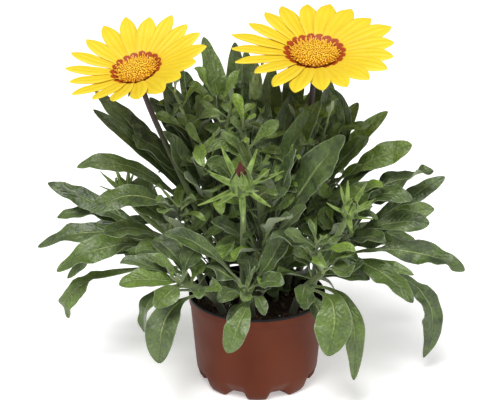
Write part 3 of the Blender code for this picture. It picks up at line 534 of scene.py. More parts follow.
class Recipe:
    """A node material while it is put together."""

    def __init__(self, name: str, roughness: float = 0.5, specular: float = 0.5) -> None:
        """Starts a material.

        Args:
            name: its name.
            roughness: its roughness where nothing varies it.
            specular: how strongly it mirrors light.
        """
        self.material = bpy.data.materials.new(name)
        self.material.use_nodes = True
        self.tree = self.material.node_tree
        self.shader = self.tree.nodes["Principled BSDF"]
        self.shader.inputs["Roughness"].default_value = roughness
        self.shader.inputs["Specular IOR Level"].default_value = specular
        self.place = self.add("ShaderNodeTexCoord").outputs["Object"]

    def add(self, kind: str, **settings: object) -> bpy.types.Node:
        """A new node with its settings."""
        node = self.tree.nodes.new(kind)
        for name, value in settings.items():
            setattr(node, name, value)
        return node

    def feed(self, socket: bpy.types.NodeSocket, value: object) -> None:
        """Links a socket to another, or sets its value."""
        if isinstance(value, bpy.types.NodeSocket):
            self.tree.links.new(value, socket)
        else:
            socket.default_value = value

    def math(self, operation: str, first: object, second: object = 0.0,
             third: object = 0.0) -> bpy.types.NodeSocket:
        """A sum of up to three values.

        Args:
            operation: the Math node's operation.
            first: a socket or a number.
            second: a socket or a number.
            third: a socket or a number.

        Returns:
            The result's socket.
        """
        node = self.add("ShaderNodeMath", operation=operation)
        for socket, value in zip(node.inputs, (first, second, third)):
            self.feed(socket, value)
        return node.outputs[0]

    def step(self, value: object, low: float, high: float) -> bpy.types.NodeSocket:
        """A smooth rise from 0 at low to 1 at high, which may lie below low."""
        node = self.add("ShaderNodeMapRange", interpolation_type="SMOOTHSTEP")
        turned_round = low > high
        settings = (value, min(low, high), max(low, high), float(turned_round), float(not turned_round))
        for socket, setting in zip(node.inputs, settings):
            self.feed(socket, setting)
        return node.outputs[0]

    def blend(self, share: object, first: object, second: object) -> bpy.types.NodeSocket:
        """One colour over another.

        Args:
            share: how much of the second, a socket or a number.
            first: a socket or a colour.
            second: a socket or a colour.

        Returns:
            The colour's socket.
        """
        node = self.add("ShaderNodeMix", data_type="RGBA")
        self.feed(node.inputs["Factor"], share)
        for socket, value in ((node.inputs[6], first), (node.inputs[7], second)):
            self.feed(socket, (*value, 1.0) if isinstance(value, tuple) else value)
        return node.outputs[2]

    def noise(self, scale: float, detail: float = 3.0, roughness: float = 0.5) -> bpy.types.NodeSocket:
        """Noise over the object, scale cells to the metre."""
        node = self.add("ShaderNodeTexNoise")
        self.feed(node.inputs["Vector"], self.place)
        for name, value in (("Scale", scale), ("Detail", detail), ("Roughness", roughness)):
            node.inputs[name].default_value = value
        return node.outputs["Fac"]

    def cells(self, scale: float) -> bpy.types.NodeSocket:
        """Distance within cells over the object, scale cells to the metre."""
        node = self.add("ShaderNodeTexVoronoi")
        self.feed(node.inputs["Vector"], self.place)
        node.inputs["Scale"].default_value = scale
        return node.outputs["Distance"]

    def stored(self, name: str) -> bpy.types.NodeSocket:
        """A number stored on the mesh."""
        return self.add("ShaderNodeAttribute", attribute_name=name).outputs["Fac"]

    def across_and_along(self) -> tuple[bpy.types.NodeSocket, bpy.types.NodeSocket]:
        """The piece's own UVs: 0 on a blade's middle line to 1 at its margin, and 0 to 1 along it."""
        uv = self.add("ShaderNodeUVMap", uv_map=UV_NAME)
        parts = self.add("ShaderNodeSeparateXYZ")
        self.feed(parts.inputs[0], uv.outputs[0])
        offset = self.math("ABSOLUTE", self.math("MULTIPLY_ADD", parts.outputs[0], 2.0, -1.0))
        return offset, parts.outputs[1]

    def finish(self, colour: object, height: object = None, depth: float = 0.1,
               roughness: object = None) -> bpy.types.Material:
        """Links what varies to the shader.

        Args:
            colour: a socket, or one colour for the whole surface.
            height: a socket that raises the surface, if there is one.
            depth: how far it raises it, in millimetres.
            roughness: a socket, if it varies.

        Returns:
            The material.
        """
        self.feed(self.shader.inputs["Base Color"], (*colour, 1.0) if isinstance(colour, tuple) else colour)
        if height is not None:
            bump = self.add("ShaderNodeBump")
            bump.inputs["Distance"].default_value = depth * MM
            self.feed(bump.inputs["Height"], height)
            self.feed(self.shader.inputs["Normal"], bump.outputs[0])
        if roughness is not None:
            self.feed(self.shader.inputs["Roughness"], roughness)
        return self.material


@dataclass(frozen=True)
class LeafFinish:
    """A gazania leaf: dark, blistered and softly glossy above with a pale midrib, felted below. Its grey
    bloom is partly a painted highlight and its pale margin line is a painted highlight.
    """

    dark: Colour = (0.010, 0.022, 0.004)
    bright: Colour = (0.069, 0.117, 0.017)
    young: Colour = (0.215, 0.345, 0.030)
    rib: Colour = (0.250, 0.330, 0.090)
    # Pale margin line: a painted edge highlight.
    margin: Colour = (0.230, 0.290, 0.150)
    # Grey bloom: partly the leaf's own grey hairs, partly a painted highlight.
    bloom_and_highlight: Colour = (0.220, 0.250, 0.140)
    felt: Colour = (0.185, 0.220, 0.130)
    vein_pairs: float = 15.0
    vein_slant: float = 2.4

    def above(self) -> bpy.types.Material:
        """The upper face.

        Returns:
            The material.
        """
        recipe = Recipe("leaf_above", 0.5, 0.6)
        across, along = recipe.across_and_along()
        tone = recipe.stored(TONE)
        patches = recipe.step(recipe.noise(90.0, 6.0, 0.65), 0.30, 0.62)
        body = recipe.blend(patches, self.dark, self.bright)
        body = recipe.blend(recipe.math("MULTIPLY", tone, 0.85), body, self.young)
        vein_lean = recipe.math("MULTIPLY", across, -self.vein_slant)
        bend = recipe.math("MULTIPLY_ADD", recipe.noise(60.0, 2.0), 1.6, vein_lean)
        slant = recipe.math("MULTIPLY_ADD", along, self.vein_pairs, bend)
        wave = recipe.math("SINE", recipe.math("MULTIPLY", slant, math.tau))
        inner = recipe.step(across, 0.95, 0.5)
        veins = recipe.math("MULTIPLY", recipe.step(wave, 0.80, 1.0), inner)
        puff = recipe.math("MULTIPLY", recipe.math("MULTIPLY_ADD", wave, -0.5, 0.5), inner)
        puff = recipe.math("MULTIPLY", puff, recipe.step(recipe.noise(70.0, 3.0), 0.40, 0.65))
        body = recipe.blend(recipe.math("MULTIPLY", puff, 0.16), body, self.dark)
        body = recipe.blend(recipe.math("MULTIPLY", veins, 0.10), body, self.rib)
        foot = recipe.step(along, 0.36, 0.10)
        reach = recipe.math("MULTIPLY_ADD", along, -0.07, 0.105)
        midrib = recipe.step(recipe.math("SUBTRACT", across, reach), 0.04, -0.03)
        stripe = recipe.math("MULTIPLY", midrib, recipe.step(along, 1.02, 0.55))
        rib_share = recipe.math("MAXIMUM", stripe, recipe.math("MULTIPLY", foot, 0.6))
        body = recipe.blend(rib_share, body, self.rib)
        # A thin pale line along the margin is a painted edge highlight.
        edge = recipe.step(across, 0.93, 0.99)
        body = recipe.blend(recipe.math("MULTIPLY", edge, 0.75), body, self.margin)
        mottle = recipe.step(recipe.noise(560.0, 4.0, 0.7), 0.40, 0.62)
        body = recipe.blend(recipe.math("MULTIPLY", mottle, 0.42), body, self.dark)
        # Grey patches and hair speckle toward the bloom colour: partly real grey hairs, partly a painted
        # highlight.
        hairs = recipe.step(recipe.noise(1000.0, 3.0, 0.65), 0.50, 0.70)
        grey = recipe.step(recipe.noise(22.0, 2.0), 0.46, 0.72)
        speckle = recipe.math("MULTIPLY", hairs, recipe.math("MULTIPLY_ADD", grey, 0.30, 0.12))
        bloom_and_highlight_share = recipe.math("MAXIMUM", speckle, recipe.math("MULTIPLY", grey, 0.11))
        body = recipe.blend(bloom_and_highlight_share, body, self.bloom_and_highlight)
        blisters = recipe.math("SUBTRACT", 1.0, recipe.step(recipe.cells(260.0), 0.0, 0.75))
        height = recipe.math("MULTIPLY", blisters, 0.3)
        height = recipe.math("MULTIPLY_ADD", recipe.noise(420.0, 4.0), 0.9, height)
        height = recipe.math("MULTIPLY_ADD", puff, 0.45, height)
        height = recipe.math("SUBTRACT", height, recipe.math("MULTIPLY", midrib, 0.8))
        shine = recipe.math("MULTIPLY_ADD", recipe.noise(170.0, 3.0), 0.24, 0.33)
        recipe.shader.inputs["Sheen Weight"].default_value = 0.13
        recipe.shader.inputs["Sheen Roughness"].default_value = 0.45
        return recipe.finish(body, height, 0.75, shine)

    def below(self) -> bpy.types.Material:
        """The felted underside.

        Returns:
            The material.
        """
        recipe = Recipe("leaf_below", 0.85, 0.2)
        across, along = recipe.across_and_along()
        cloud = recipe.noise(140.0, 4.0)
        body = recipe.blend(recipe.step(cloud, 0.3, 0.75), self.felt, tuple(c * 1.3 for c in self.felt))
        midrib = recipe.step(across, 0.22, 0.08)
        foot = recipe.step(along, 0.45, 0.12)
        body = recipe.blend(recipe.math("MAXIMUM", midrib, foot), body, self.rib)
        recipe.shader.inputs["Sheen Weight"].default_value = 0.2
        return recipe.finish(body, recipe.noise(1200.0, 2.0), 0.15)


@dataclass(frozen=True)
class StalkFinish:
    """A soft ridged stalk that changes colour along its length."""

    name: str
    low: Colour
    high: Colour
    change: tuple[float, float] = (0.2, 0.8)

    def material(self) -> bpy.types.Material:
        """The stalk's surface.

        Returns:
            The material.
        """
        recipe = Recipe(self.name, 0.55, 0.4)
        body = recipe.blend(recipe.step(recipe.stored(REACH), *self.change), self.low, self.high)
        streaks = recipe.step(recipe.noise(260.0, 4.0), 0.35, 0.75)
        shaded = recipe.blend(recipe.math("MULTIPLY", streaks, 0.35), body, (0.03, 0.03, 0.015))
        recipe.shader.inputs["Sheen Weight"].default_value = 0.3
        return recipe.finish(shaded, recipe.noise(900.0, 3.0), 0.2)


@dataclass(frozen=True)
class RayFinish:
    """A ray floret: clear yellow with a rusty blotch at its foot, and painted shade in deeper gold."""

    lemon: Colour = (0.725, 0.545, 0.021)
    # Deeper gold: partly the ray's own tint, partly painted shade toward the foot and in the grooves.
    gold_and_shade: Colour = (0.680, 0.380, 0.009)
    pale: Colour = (0.760, 0.615, 0.090)
    rust: Colour = (0.345, 0.050, 0.005)
    soot: Colour = (0.050, 0.009, 0.005)
    back: Colour = (0.520, 0.340, 0.040)

    def above(self) -> bpy.types.Material:
        """The upper face.

        Returns:
            The material.
        """
        recipe = Recipe("ray_above", 0.55, 0.3)
        across, along = recipe.across_and_along()
        reach = recipe.stored(REACH)
        cloud = recipe.noise(120.0, 3.0)
        # Deeper gold toward the foot is painted shade where the rays crowd round the disc.
        body = recipe.blend(recipe.step(along, 0.75, 0.2), self.lemon, self.gold_and_shade)
        body = recipe.blend(0.72, body, self.lemon)
        body = recipe.blend(recipe.math("MULTIPLY", recipe.step(across, 0.7, 1.0), 0.4), body, self.pale)
        # Gold lines along the grooves of the folded ray are painted shade.
        lines = recipe.math("ABSOLUTE", recipe.math("SINE", recipe.math("MULTIPLY", across, 4.7)))
        body = recipe.blend(recipe.math("MULTIPLY", recipe.step(lines, 0.8, 1.0), 0.24), body, self.gold_and_shade)
        body = recipe.blend(recipe.math("MULTIPLY", recipe.step(cloud, 0.45, 0.8), 0.15), body, self.gold_and_shade)
        bound = recipe.math("MULTIPLY_ADD", recipe.math("MULTIPLY", across, across), 0.28, reach)
        blotch = recipe.step(bound, 1.06, 0.94)
        body = recipe.blend(blotch, body, self.rust)
        body = recipe.blend(recipe.step(bound, 0.34, 0.05), body, self.soot)
        grain = recipe.noise(900.0, 2.0)
        return recipe.finish(body, grain, 0.08)

    def below(self) -> bpy.types.Material:
        """The underside, with a dull stripe along its middle.

        Returns:
            The material.
        """
        recipe = Recipe("ray_below", 0.6, 0.3)
        across, along = recipe.across_and_along()
        stripe = recipe.math("MULTIPLY", recipe.step(across, 0.45, 0.15), recipe.step(along, 1.0, 0.5))
        body = recipe.blend(recipe.math("MULTIPLY", stripe, 0.7), self.lemon, self.back)
        return recipe.finish(body, recipe.noise(900.0, 2.0), 0.08)


@dataclass(frozen=True)
class FloretFinish:
    """Disc florets: dark at the foot, orange along the tube and yellow at the mouth."""

    foot: Colour = (0.170, 0.028, 0.006)
    tube: Colour = (0.840, 0.440, 0.014)
    mouth: Colour = (0.950, 0.700, 0.080)

    def material(self) -> bpy.types.Material:
        """The florets' surface.

        Returns:
            The material.
        """
        recipe = Recipe("disc_florets", 0.6, 0.3)
        reach = recipe.stored(REACH)
        body = recipe.blend(recipe.step(reach, 0.02, 0.3), self.foot, self.tube)
        body = recipe.blend(recipe.step(reach, 0.6, 1.0), body, self.mouth)
        body = recipe.blend(recipe.math("MULTIPLY", recipe.stored(TONE), 0.35), body, self.tube)
        return recipe.finish(body, recipe.noise(1500.0, 2.0), 0.1)


@dataclass(frozen=True)
class PotFinish:
    """Thin moulded plastic, brick red outside and black inside."""

    brick: Colour = (0.100, 0.020, 0.007)
    worn: Colour = (0.128, 0.031, 0.012)
    inner: Colour = (0.005, 0.005, 0.006)

    def outside(self) -> bpy.types.Material:
        """The brick-red face.

        Returns:
            The material.
        """
        recipe = Recipe("pot_plastic", 0.5, 0.12)
        cloud = recipe.step(recipe.noise(28.0, 5.0), 0.3, 0.75)
        body = recipe.blend(recipe.math("MULTIPLY", cloud, 0.45), self.brick, self.worn)
        scuffs = recipe.step(recipe.noise(420.0, 2.0), 0.66, 0.78)
        body = recipe.blend(recipe.math("MULTIPLY", scuffs, 0.16), body, self.worn)
        shine = recipe.math("MULTIPLY_ADD", recipe.noise(70.0, 4.0), 0.25, 0.36)
        return recipe.finish(body, recipe.noise(650.0, 3.0), 0.05, shine)

    def inside(self) -> bpy.types.Material:
        """The black inner layer.

        Returns:
            The material.
        """
        recipe = Recipe("pot_inner_layer", 0.6, 0.2)
        dust = recipe.step(recipe.noise(300.0, 4.0), 0.55, 0.8)
        body = recipe.blend(recipe.math("MULTIPLY", dust, 0.2), self.inner, (0.06, 0.045, 0.035))
        return recipe.finish(body, recipe.noise(650.0, 3.0), 0.05)


class Grain(Enum):
    """What the compost's loose bits are made of: colour, share of the bits, and size in millimetres."""

    PEAT = ((0.020, 0.012, 0.008), 0.72, (0.5, 1.6))
    BARK = ((0.085, 0.042, 0.022), 0.22, (0.6, 2.1))
    PERLITE = ((0.480, 0.430, 0.360), 0.025, (0.5, 1.1))

    @property
    def colour(self) -> Colour:
        """Its colour."""
        return self.value[0]

    @property
    def share(self) -> float:
        """Its share of all the bits."""
        return self.value[1]

    @property
    def sizes(self) -> tuple[float, float]:
        """Its least and greatest radius."""
        return self.value[2]

    def material(self) -> bpy.types.Material:
        """Its surface.

        Returns:
            The material.
        """
        recipe = Recipe(f"compost_{self.name.lower()}", 0.9, 0.3)
        lighter = tuple(c * 1.9 for c in self.colour)
        cloud = recipe.step(recipe.noise(700.0, 4.0), 0.35, 0.75)
        return recipe.finish(recipe.blend(cloud, self.colour, lighter), recipe.noise(2000.0, 3.0), 0.3)


@dataclass(frozen=True)
class BractFinish:
    """The fresh green of buds and cups."""

    name: str
    shade: Colour = (0.045, 0.085, 0.014)
    light: Colour = (0.130, 0.215, 0.036)
    tip: Colour = (0.170, 0.190, 0.050)

    def material(self) -> bpy.types.Material:
        """The bracts' surface.

        Returns:
            The material.
        """
        recipe = Recipe(self.name, 0.45, 0.4)
        across, along = recipe.across_and_along()
        cloud = recipe.step(recipe.noise(180.0, 4.0), 0.3, 0.7)
        body = recipe.blend(cloud, self.shade, self.light)
        body = recipe.blend(recipe.math("MULTIPLY", recipe.step(across, 0.5, 1.0), 0.5), body, self.light)
        body = recipe.blend(recipe.math("MULTIPLY", recipe.step(along, 0.8, 1.0), 0.5), body, self.tip)
        recipe.shader.inputs["Sheen Weight"].default_value = 0.2
        return recipe.finish(body, recipe.noise(700.0, 3.0), 0.2)


@dataclass(frozen=True)
class FurledFinish:
    """Rays still rolled up: dark wine red with a paler seam."""

    wine: Colour = (0.085, 0.012, 0.012)
    seam: Colour = (0.260, 0.060, 0.035)

    def material(self) -> bpy.types.Material:
        """The rolled rays' surface.

        Returns:
            The material.
        """
        recipe = Recipe("furled_rays", 0.55, 0.4)
        streaks = recipe.step(recipe.noise(420.0, 4.0), 0.5, 0.8)
        return recipe.finish(recipe.blend(streaks, self.wine, self.seam), recipe.noise(900.0, 3.0), 0.2)


@dataclass(frozen=True)
class FloorFinish:
    """A plain pale studio floor, lit a little from below."""

    white: Colour = (0.86, 0.86, 0.86)
    glow: float = 0.42

    def material(self) -> bpy.types.Material:
        """The floor's surface.

        Returns:
            The material.
        """
        recipe = Recipe("studio_floor", 0.8, 0.1)
        cloud = recipe.math("MULTIPLY", recipe.noise(3.0, 2.0), 0.06)
        recipe.shader.inputs["Emission Color"].default_value = (*self.white, 1.0)
        recipe.shader.inputs["Emission Strength"].default_value = self.glow
        return recipe.finish(recipe.blend(cloud, self.white, tuple(c * 0.96 for c in self.white)))


# Foliage


class Detail(Enum):
    """How finely a leaf is divided, across and along, and how stout it is beside a full-grown one."""

    FULL = ((-1.0, -0.9, -0.68, -0.42, -0.2, -0.07, 0.07, 0.2, 0.42, 0.68, 0.9, 1.0), 32, 1.0)
    SMALL = ((-1.0, -0.55, -0.1, 0.1, 0.55, 1.0), 12, 0.55)

    @property
    def columns(self) -> tuple[float, ...]:
        """The lengthwise lines."""
        return self.value[0]

    @property
    def rows(self) -> int:
        """How many rows it has."""
        return self.value[1]

    @property
    def girth(self) -> float:
        """Its thickness as a share of a full-grown leaf's."""
        return self.value[2]


@dataclass(frozen=True)
class Leaf:
    """A spoon-shaped leaf on a bent middle line. Its twist is at the tip and its turn faces the light.

    Fold is how steeply its halves rise from the midrib, curl how far its tip droops and sway how far
    its middle line winds to the side.
    """

    root: Vector
    bow: Vector
    tip: Vector
    width: float
    twist: float
    wave: float
    phase: float
    turn: float = 0.0
    tone: float = 0.2
    fold: float = 0.06
    curl: float = 0.0
    sway: float = 0.0
    detail: Detail = Detail.FULL

    END = 0.9985
    BLISTER_SIZE = 7.0
    WINDING = 42.0
    ROLLING = 16.0

    def controls(self) -> tuple[Vector, Vector, Vector]:
        """The middle line's control points."""
        return self.root, self.bow, self.tip

    def level_side(self, share: float) -> tuple[Vector, Vector]:
        """The middle line's heading at share, and the blade's side before it turns.

        Args:
            share: how far along.

        Returns:
            The heading and the side.
        """
        heading = bezier_heading(self.controls(), share)
        over = self.tip - self.root
        over.z = 0.0
        level = UP.cross(over.normalized())
        return heading, (level - heading * level.dot(heading)).normalized()

    def lit(self) -> "Leaf":
        """The leaf rolled to face the light in front of the plant."""
        heading, side = self.level_side(BLADE_MIDDLE)
        turn = math.degrees(math.atan2(-LIGHT.dot(side), LIGHT.dot(heading.cross(side))))
        return replace(self, turn=max(-MOST_TURN, min(MOST_TURN, turn)))

    def nudged(self, turn: float, lift: float) -> "Leaf":
        """The leaf swung about its root.

        Args:
            turn: degrees round the upright.
            lift: degrees up.

        Returns:
            The swung leaf.
        """
        over = self.tip - self.root
        side = Vector((over.y, -over.x, 0.0)).normalized()
        swing = Matrix.Rotation(math.radians(turn), 3, "Z") @ Matrix.Rotation(math.radians(lift), 3, side)
        return replace(self, bow=self.root + swing @ (self.bow - self.root), tip=self.root + swing @ over)

    def spine(self, share: float) -> tuple[Vector, Vector, Vector]:
        """The middle of the leaf at share, with its side and upper normal.

        Args:
            share: how far along.

        Returns:
            The point, the side and the normal.
        """
        heading, side = self.level_side(share)
        roll = self.turn * smooth_step(0.05, 0.5, share) + self.twist * share
        windings = (self.tip - self.root).length / self.WINDING * share + self.phase
        roll += self.ROLLING * self.wave * smooth_step(NECK, 0.5, share) * math.sin(math.tau * windings)
        side = Matrix.Rotation(math.radians(roll), 3, heading) @ side
        return bezier(self.controls(), share), side, heading.cross(side)

    def half_width(self, share: float) -> float:
        """Half its width at share: a narrow stalk, a broad shoulder and a round tip.

        Args:
            share: how far along.

        Returns:
            The half width.
        """
        if share < SHOULDER:
            stalk = self.detail.girth * PETIOLE_WIDTH / 2.0
            return mix(stalk, self.width / 2.0, smooth_step(NECK, SHOULDER, share))
        beyond = (share - SHOULDER) / (1.0 - SHOULDER)
        return self.width / 2.0 * max(0.0, 1.0 - beyond ** 1.9) ** 0.62

    def relief(self, across: float, share: float) -> float:
        """How far the blade's upper face stands off its flat middle.

        Args:
            across: from -1 at one margin to 1 at the other.
            share: how far along.

        Returns:
            The height in millimetres.
        """
        flat = smooth_step(NECK, 0.5, share) * (1.0 - 0.85 * smooth_step(0.86, 1.0, share))
        turn = math.tau * (1.7 * share + self.phase) + (0.0 if across > 0 else 2.2)
        margin = abs(across)
        length = (self.tip - self.root).length
        rise = self.wave * flat * math.sin(turn) * margin
        rise += self.fold * self.width * flat * margin ** 1.4
        ripple = math.sin(math.tau * (length / 17.0 * share + 2.0 * self.phase) + 1.7 * (across > 0))
        uneven = 0.6 + 0.8 * noise.noise(Vector((across, share * length / 20.0, self.phase * 90.0)))
        rise += (0.30 + 0.04 * self.width + 0.7 * self.wave) * uneven * flat * margin ** 1.7 * ripple
        rise += 0.7 * self.wave * flat * math.sin(math.tau * (length / 38.0 * share + self.phase))
        spot = Vector((across * self.width / 2.0, share * length, self.phase * 300.0)) / self.BLISTER_SIZE
        rise += 0.9 * flat * noise.noise(spot) * (1.0 - 0.4 * margin)
        rise -= self.curl * max(0.0, (share - 0.72) / 0.28) ** 2
        return rise - 0.35 * flat * max(0.0, 1.0 - margin / 0.18)

    def thickness(self, share: float) -> float:
        """A stout stalk that thins into the blade."""
        return self.detail.girth * mix(PETIOLE_THICKNESS, BLADE_THICKNESS, smooth_step(0.05, 0.5, share))

    def surface(self, across: float, share: float) -> Vector:
        """The point of the upper face at a place across and a share along.

        Args:
            across: from -1 at one margin to 1 at the other.
            share: how far along.

        Returns:
            The point.
        """
        centre, side, normal = self.spine(share)
        place = Vector((2.0 * (across > 0), share * 5.0, self.phase * 50.0))
        reach = self.half_width(share) * (1.0 + 0.16 * noise.noise(place))
        aside = self.sway * math.sin(math.pi * share) ** 2 - across * reach
        return centre + side * aside + normal * (self.relief(across, share) + self.thickness(share) / 2.0)

    def build(self, name: str) -> bpy.types.Object:
        """Lays the upper face and stores how thick the leaf is under it.

        Args:
            name: the object's name.

        Returns:
            The sheet, ready to be thickened.
        """
        columns, rows = self.detail.columns, self.detail.rows
        shares = [min(self.END, k / rows * (1.55 - 0.55 * k / rows)) for k in range(rows + 1)]
        obj = lay_sheet(name, columns, shares, self.surface, self.tone)
        group = obj.vertex_groups.new(name="body")
        for index, (x, y, _) in enumerate(coordinates(STOCK.sheet(len(columns) - 1, rows))):
            column = abs(columns[round((x + 0.5) * (len(columns) - 1))])
            share = shares[round((y + 0.5) * rows)]
            rib = 0.25 * max(0.0, 1.0 - column / 0.3) * smooth_step(0.1, 0.4, share)
            body = self.thickness(share) / PETIOLE_THICKNESS * (1.0 - 0.45 * column ** 2) + rib
            group.add([index], min(1.0, body), "REPLACE")
        return obj


@dataclass(frozen=True)
class Outline:
    """A leaf that gives the plant its outline: its tip, and the bow of its middle aside, out and up."""

    tip: Sequence[float]
    bow: Sequence[float]
    width: float
    twist: float
    wave: float

    def leaf(self, root: Vector, order: int) -> Leaf:
        """The leaf from its root on the shoot.

        Args:
            root: where it leaves the stem.
            order: its place in the rosette.

        Returns:
            The leaf.
        """
        tip = Vector(self.tip)
        over = Vector((tip.x - root.x, tip.y - root.y, 0.0)).normalized()
        aside, out, up = self.bow
        bow = (root + tip) / 2.0 + (UP.cross(over) * aside + over * out + UP * up) * 2.0
        return Leaf(root, bow, tip, self.width, self.twist, self.wave, PHASE_STEP * order % 1.0)


@dataclass
class Shoot:
    """A leafy shoot: a stem, its rosette of leaves, and the young leaves of its heart."""

    name: str
    foot: Sequence[float]
    head: Sequence[float]
    fills: int
    first: float
    length: tuple[float, float]
    rise: tuple[float, float]
    width: tuple[float, float]
    outlines: list[Outline] = field(default_factory=list)
    twigs: int = 1
    side_leaves: int = 6
    twig_rise: tuple[float, float] = (24, 44)
    lowest: float = 0.5
    young: int = 4

    def stem(self) -> list[Vector]:
        """The stem's control points."""
        return stem_controls(Vector(self.foot), Vector(self.head))

    def fill_leaf(self, root: Vector, order: int) -> Leaf:
        """The leaf that the rule adds: long and low outside, short and upright inside.

        Args:
            root: where it leaves the stem.
            order: its place in the rosette.

        Returns:
            The leaf.
        """
        draw = random.Random(f"{self.name} {order}")
        head = Vector(self.head)
        heading = math.radians(self.first + GOLDEN_ANGLE * order + draw.uniform(-10, 10))
        over = Vector((math.sin(heading), -math.cos(heading), 0.0))
        outward = 0.5 + 0.5 * over.dot(Vector((head.x, head.y, 0.0)).normalized())
        length = mix(self.length[0], self.length[1], outward) * draw.uniform(0.85, 1.1)
        rise = math.radians(mix(self.rise[1], self.rise[0], outward) + draw.uniform(-8, 8))
        tip = root + (over * math.cos(rise) + UP * math.sin(rise)) * length
        bow = (root + tip) / 2.0 + UP * length * draw.uniform(0.14, 0.30) + over * length * 0.05
        width = draw.uniform(*self.width)
        twist, wave = draw.uniform(-18, 18), draw.uniform(0.3, 1.2)
        return Leaf(root, bow, tip, width, twist, wave, draw.random())

    def rosette(self) -> list[Leaf]:
        """Every leaf before any is swung clear.

        Returns:
            The leaves, from the lowest on the stem to the heart.
        """
        count = len(self.outlines) + self.fills
        found = []
        for order in range(count):
            root = bezier(self.stem(), mix(LOWEST_ROOT, 0.97, order / (count - 1)))
            if order < len(self.outlines):
                leaf = self.outlines[order].leaf(root, order)
            else:
                leaf = self.fill_leaf(root, order)
            outward = (leaf.bow - root).normalized()
            found.append(replace(leaf, root=root + outward * ROOT_SINK).lit())
        return found

    def placed(self) -> list[Leaf]:
        """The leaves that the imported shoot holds, swung as they are there.

        Returns:
            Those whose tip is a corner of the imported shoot.
        """
        points = coordinates(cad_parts[self.name].data) / MM
        tree = KDTree(len(points))
        for index, point in enumerate(points):
            tree.insert(point, index)
        tree.balance()
        draw = random.Random(f"looks {self.name}")
        found = []
        for leaf in self.rosette():
            swings = (leaf.nudged(turn, lift) for turn, lift in NUDGES)
            kept = next((swung for swung in swings if tree.find(swung.tip)[2] < 0.05), None)
            if kept:
                found.append(replace(kept, tone=0.6 * draw.random() ** 3.0, fold=draw.uniform(0.0, 0.15),
                                     curl=draw.uniform(-1.0, 4.0), sway=draw.uniform(-2.5, 2.5)))
        return found

    def twig_stems(self) -> list[list[Vector]]:
        """The short side stems that leave the shoot under its head.

        Returns:
            The control points of each.
        """
        draw = random.Random(f"twigs {self.name}")
        found = []
        for k in range(self.twigs):
            foot = bezier(self.stem(), mix(0.6, 0.95, (k + 0.5) / self.twigs))
            heading = math.radians(360.0 * k / self.twigs + draw.uniform(-30, 30))
            over = Vector((math.sin(heading), -math.cos(heading), 0.0))
            head = foot + over * draw.uniform(12, 30) + UP * draw.uniform(*self.twig_rise)
            found.append(stem_controls(foot, head))
        return found

    @staticmethod
    def spray(stem: list[Vector], count: int, seed: str, lengths: tuple[float, float],
              lowest: float = 0.5) -> list[Leaf]:
        """Small leaves set round a stem.

        Args:
            stem: its control points.
            count: how many leaves it bears.
            seed: what the draw starts from.
            lengths: the least and greatest length of a leaf.
            lowest: how far along the stem the first leaf grows.

        Returns:
            The leaves.
        """
        draw = random.Random(seed)
        found = []
        for k in range(count):
            share = (k + 0.5) / count
            root = bezier(stem, mix(lowest, 1.0, share ** 1.3))
            heading = math.radians(GOLDEN_ANGLE * k + draw.uniform(-30, 30))
            over = Vector((math.sin(heading), -math.cos(heading), 0.0))
            rise = math.radians(draw.uniform(-15, 45) + 30.0 * share)
            length = draw.uniform(*lengths) * mix(1.0, 0.75, share)
            tip = root + (over * math.cos(rise) + UP * math.sin(rise)) * length
            bow = (root + tip) / 2.0 + UP * length * draw.uniform(0.05, 0.32) + over * length * 0.06
            width = length * draw.uniform(0.17, 0.29)
            leaf = Leaf(root, bow, tip, width, draw.uniform(-50, 50), draw.uniform(0.3, 1.0), draw.random(),
                        0.0, draw.random() ** 1.8 * 0.9 + 0.3 * share, draw.uniform(0.03, 0.26),
                        draw.uniform(-1.0, 6.0), draw.uniform(-2.0, 2.0), Detail.SMALL)
            found.append(leaf.lit())
        return found

    def heart(self) -> list[Leaf]:
        """The small upright leaves at the head of the stem.

        Returns:
            The young leaves.
        """
        draw = random.Random(f"heart {self.name}")
        head, found = Vector(self.head), []
        for k in range(self.young):
            heading = math.radians(GOLDEN_ANGLE * k + draw.uniform(-20, 20))
            over = Vector((math.sin(heading), -math.cos(heading), 0.0))
            rise = math.radians(mix(35, 78, k / self.young) + draw.uniform(-6, 6))
            length = draw.uniform(20, 34) * (1.0 - 0.5 * k / self.young)
            tip = head + (over * math.cos(rise) + UP * math.sin(rise)) * length
            bow = (head + tip) / 2.0 + over * length * 0.14 + UP * length * 0.10
            width = length * draw.uniform(0.24, 0.32)
            leaf = Leaf(head - UP * 1.0, bow, tip, width, draw.uniform(-25, 25), 0.4, draw.random(), 0.0,
                        draw.uniform(0.4, 0.9), 0.12, draw.uniform(0.0, 2.0), 0.0, Detail.SMALL)
            found.append(leaf)
        return found

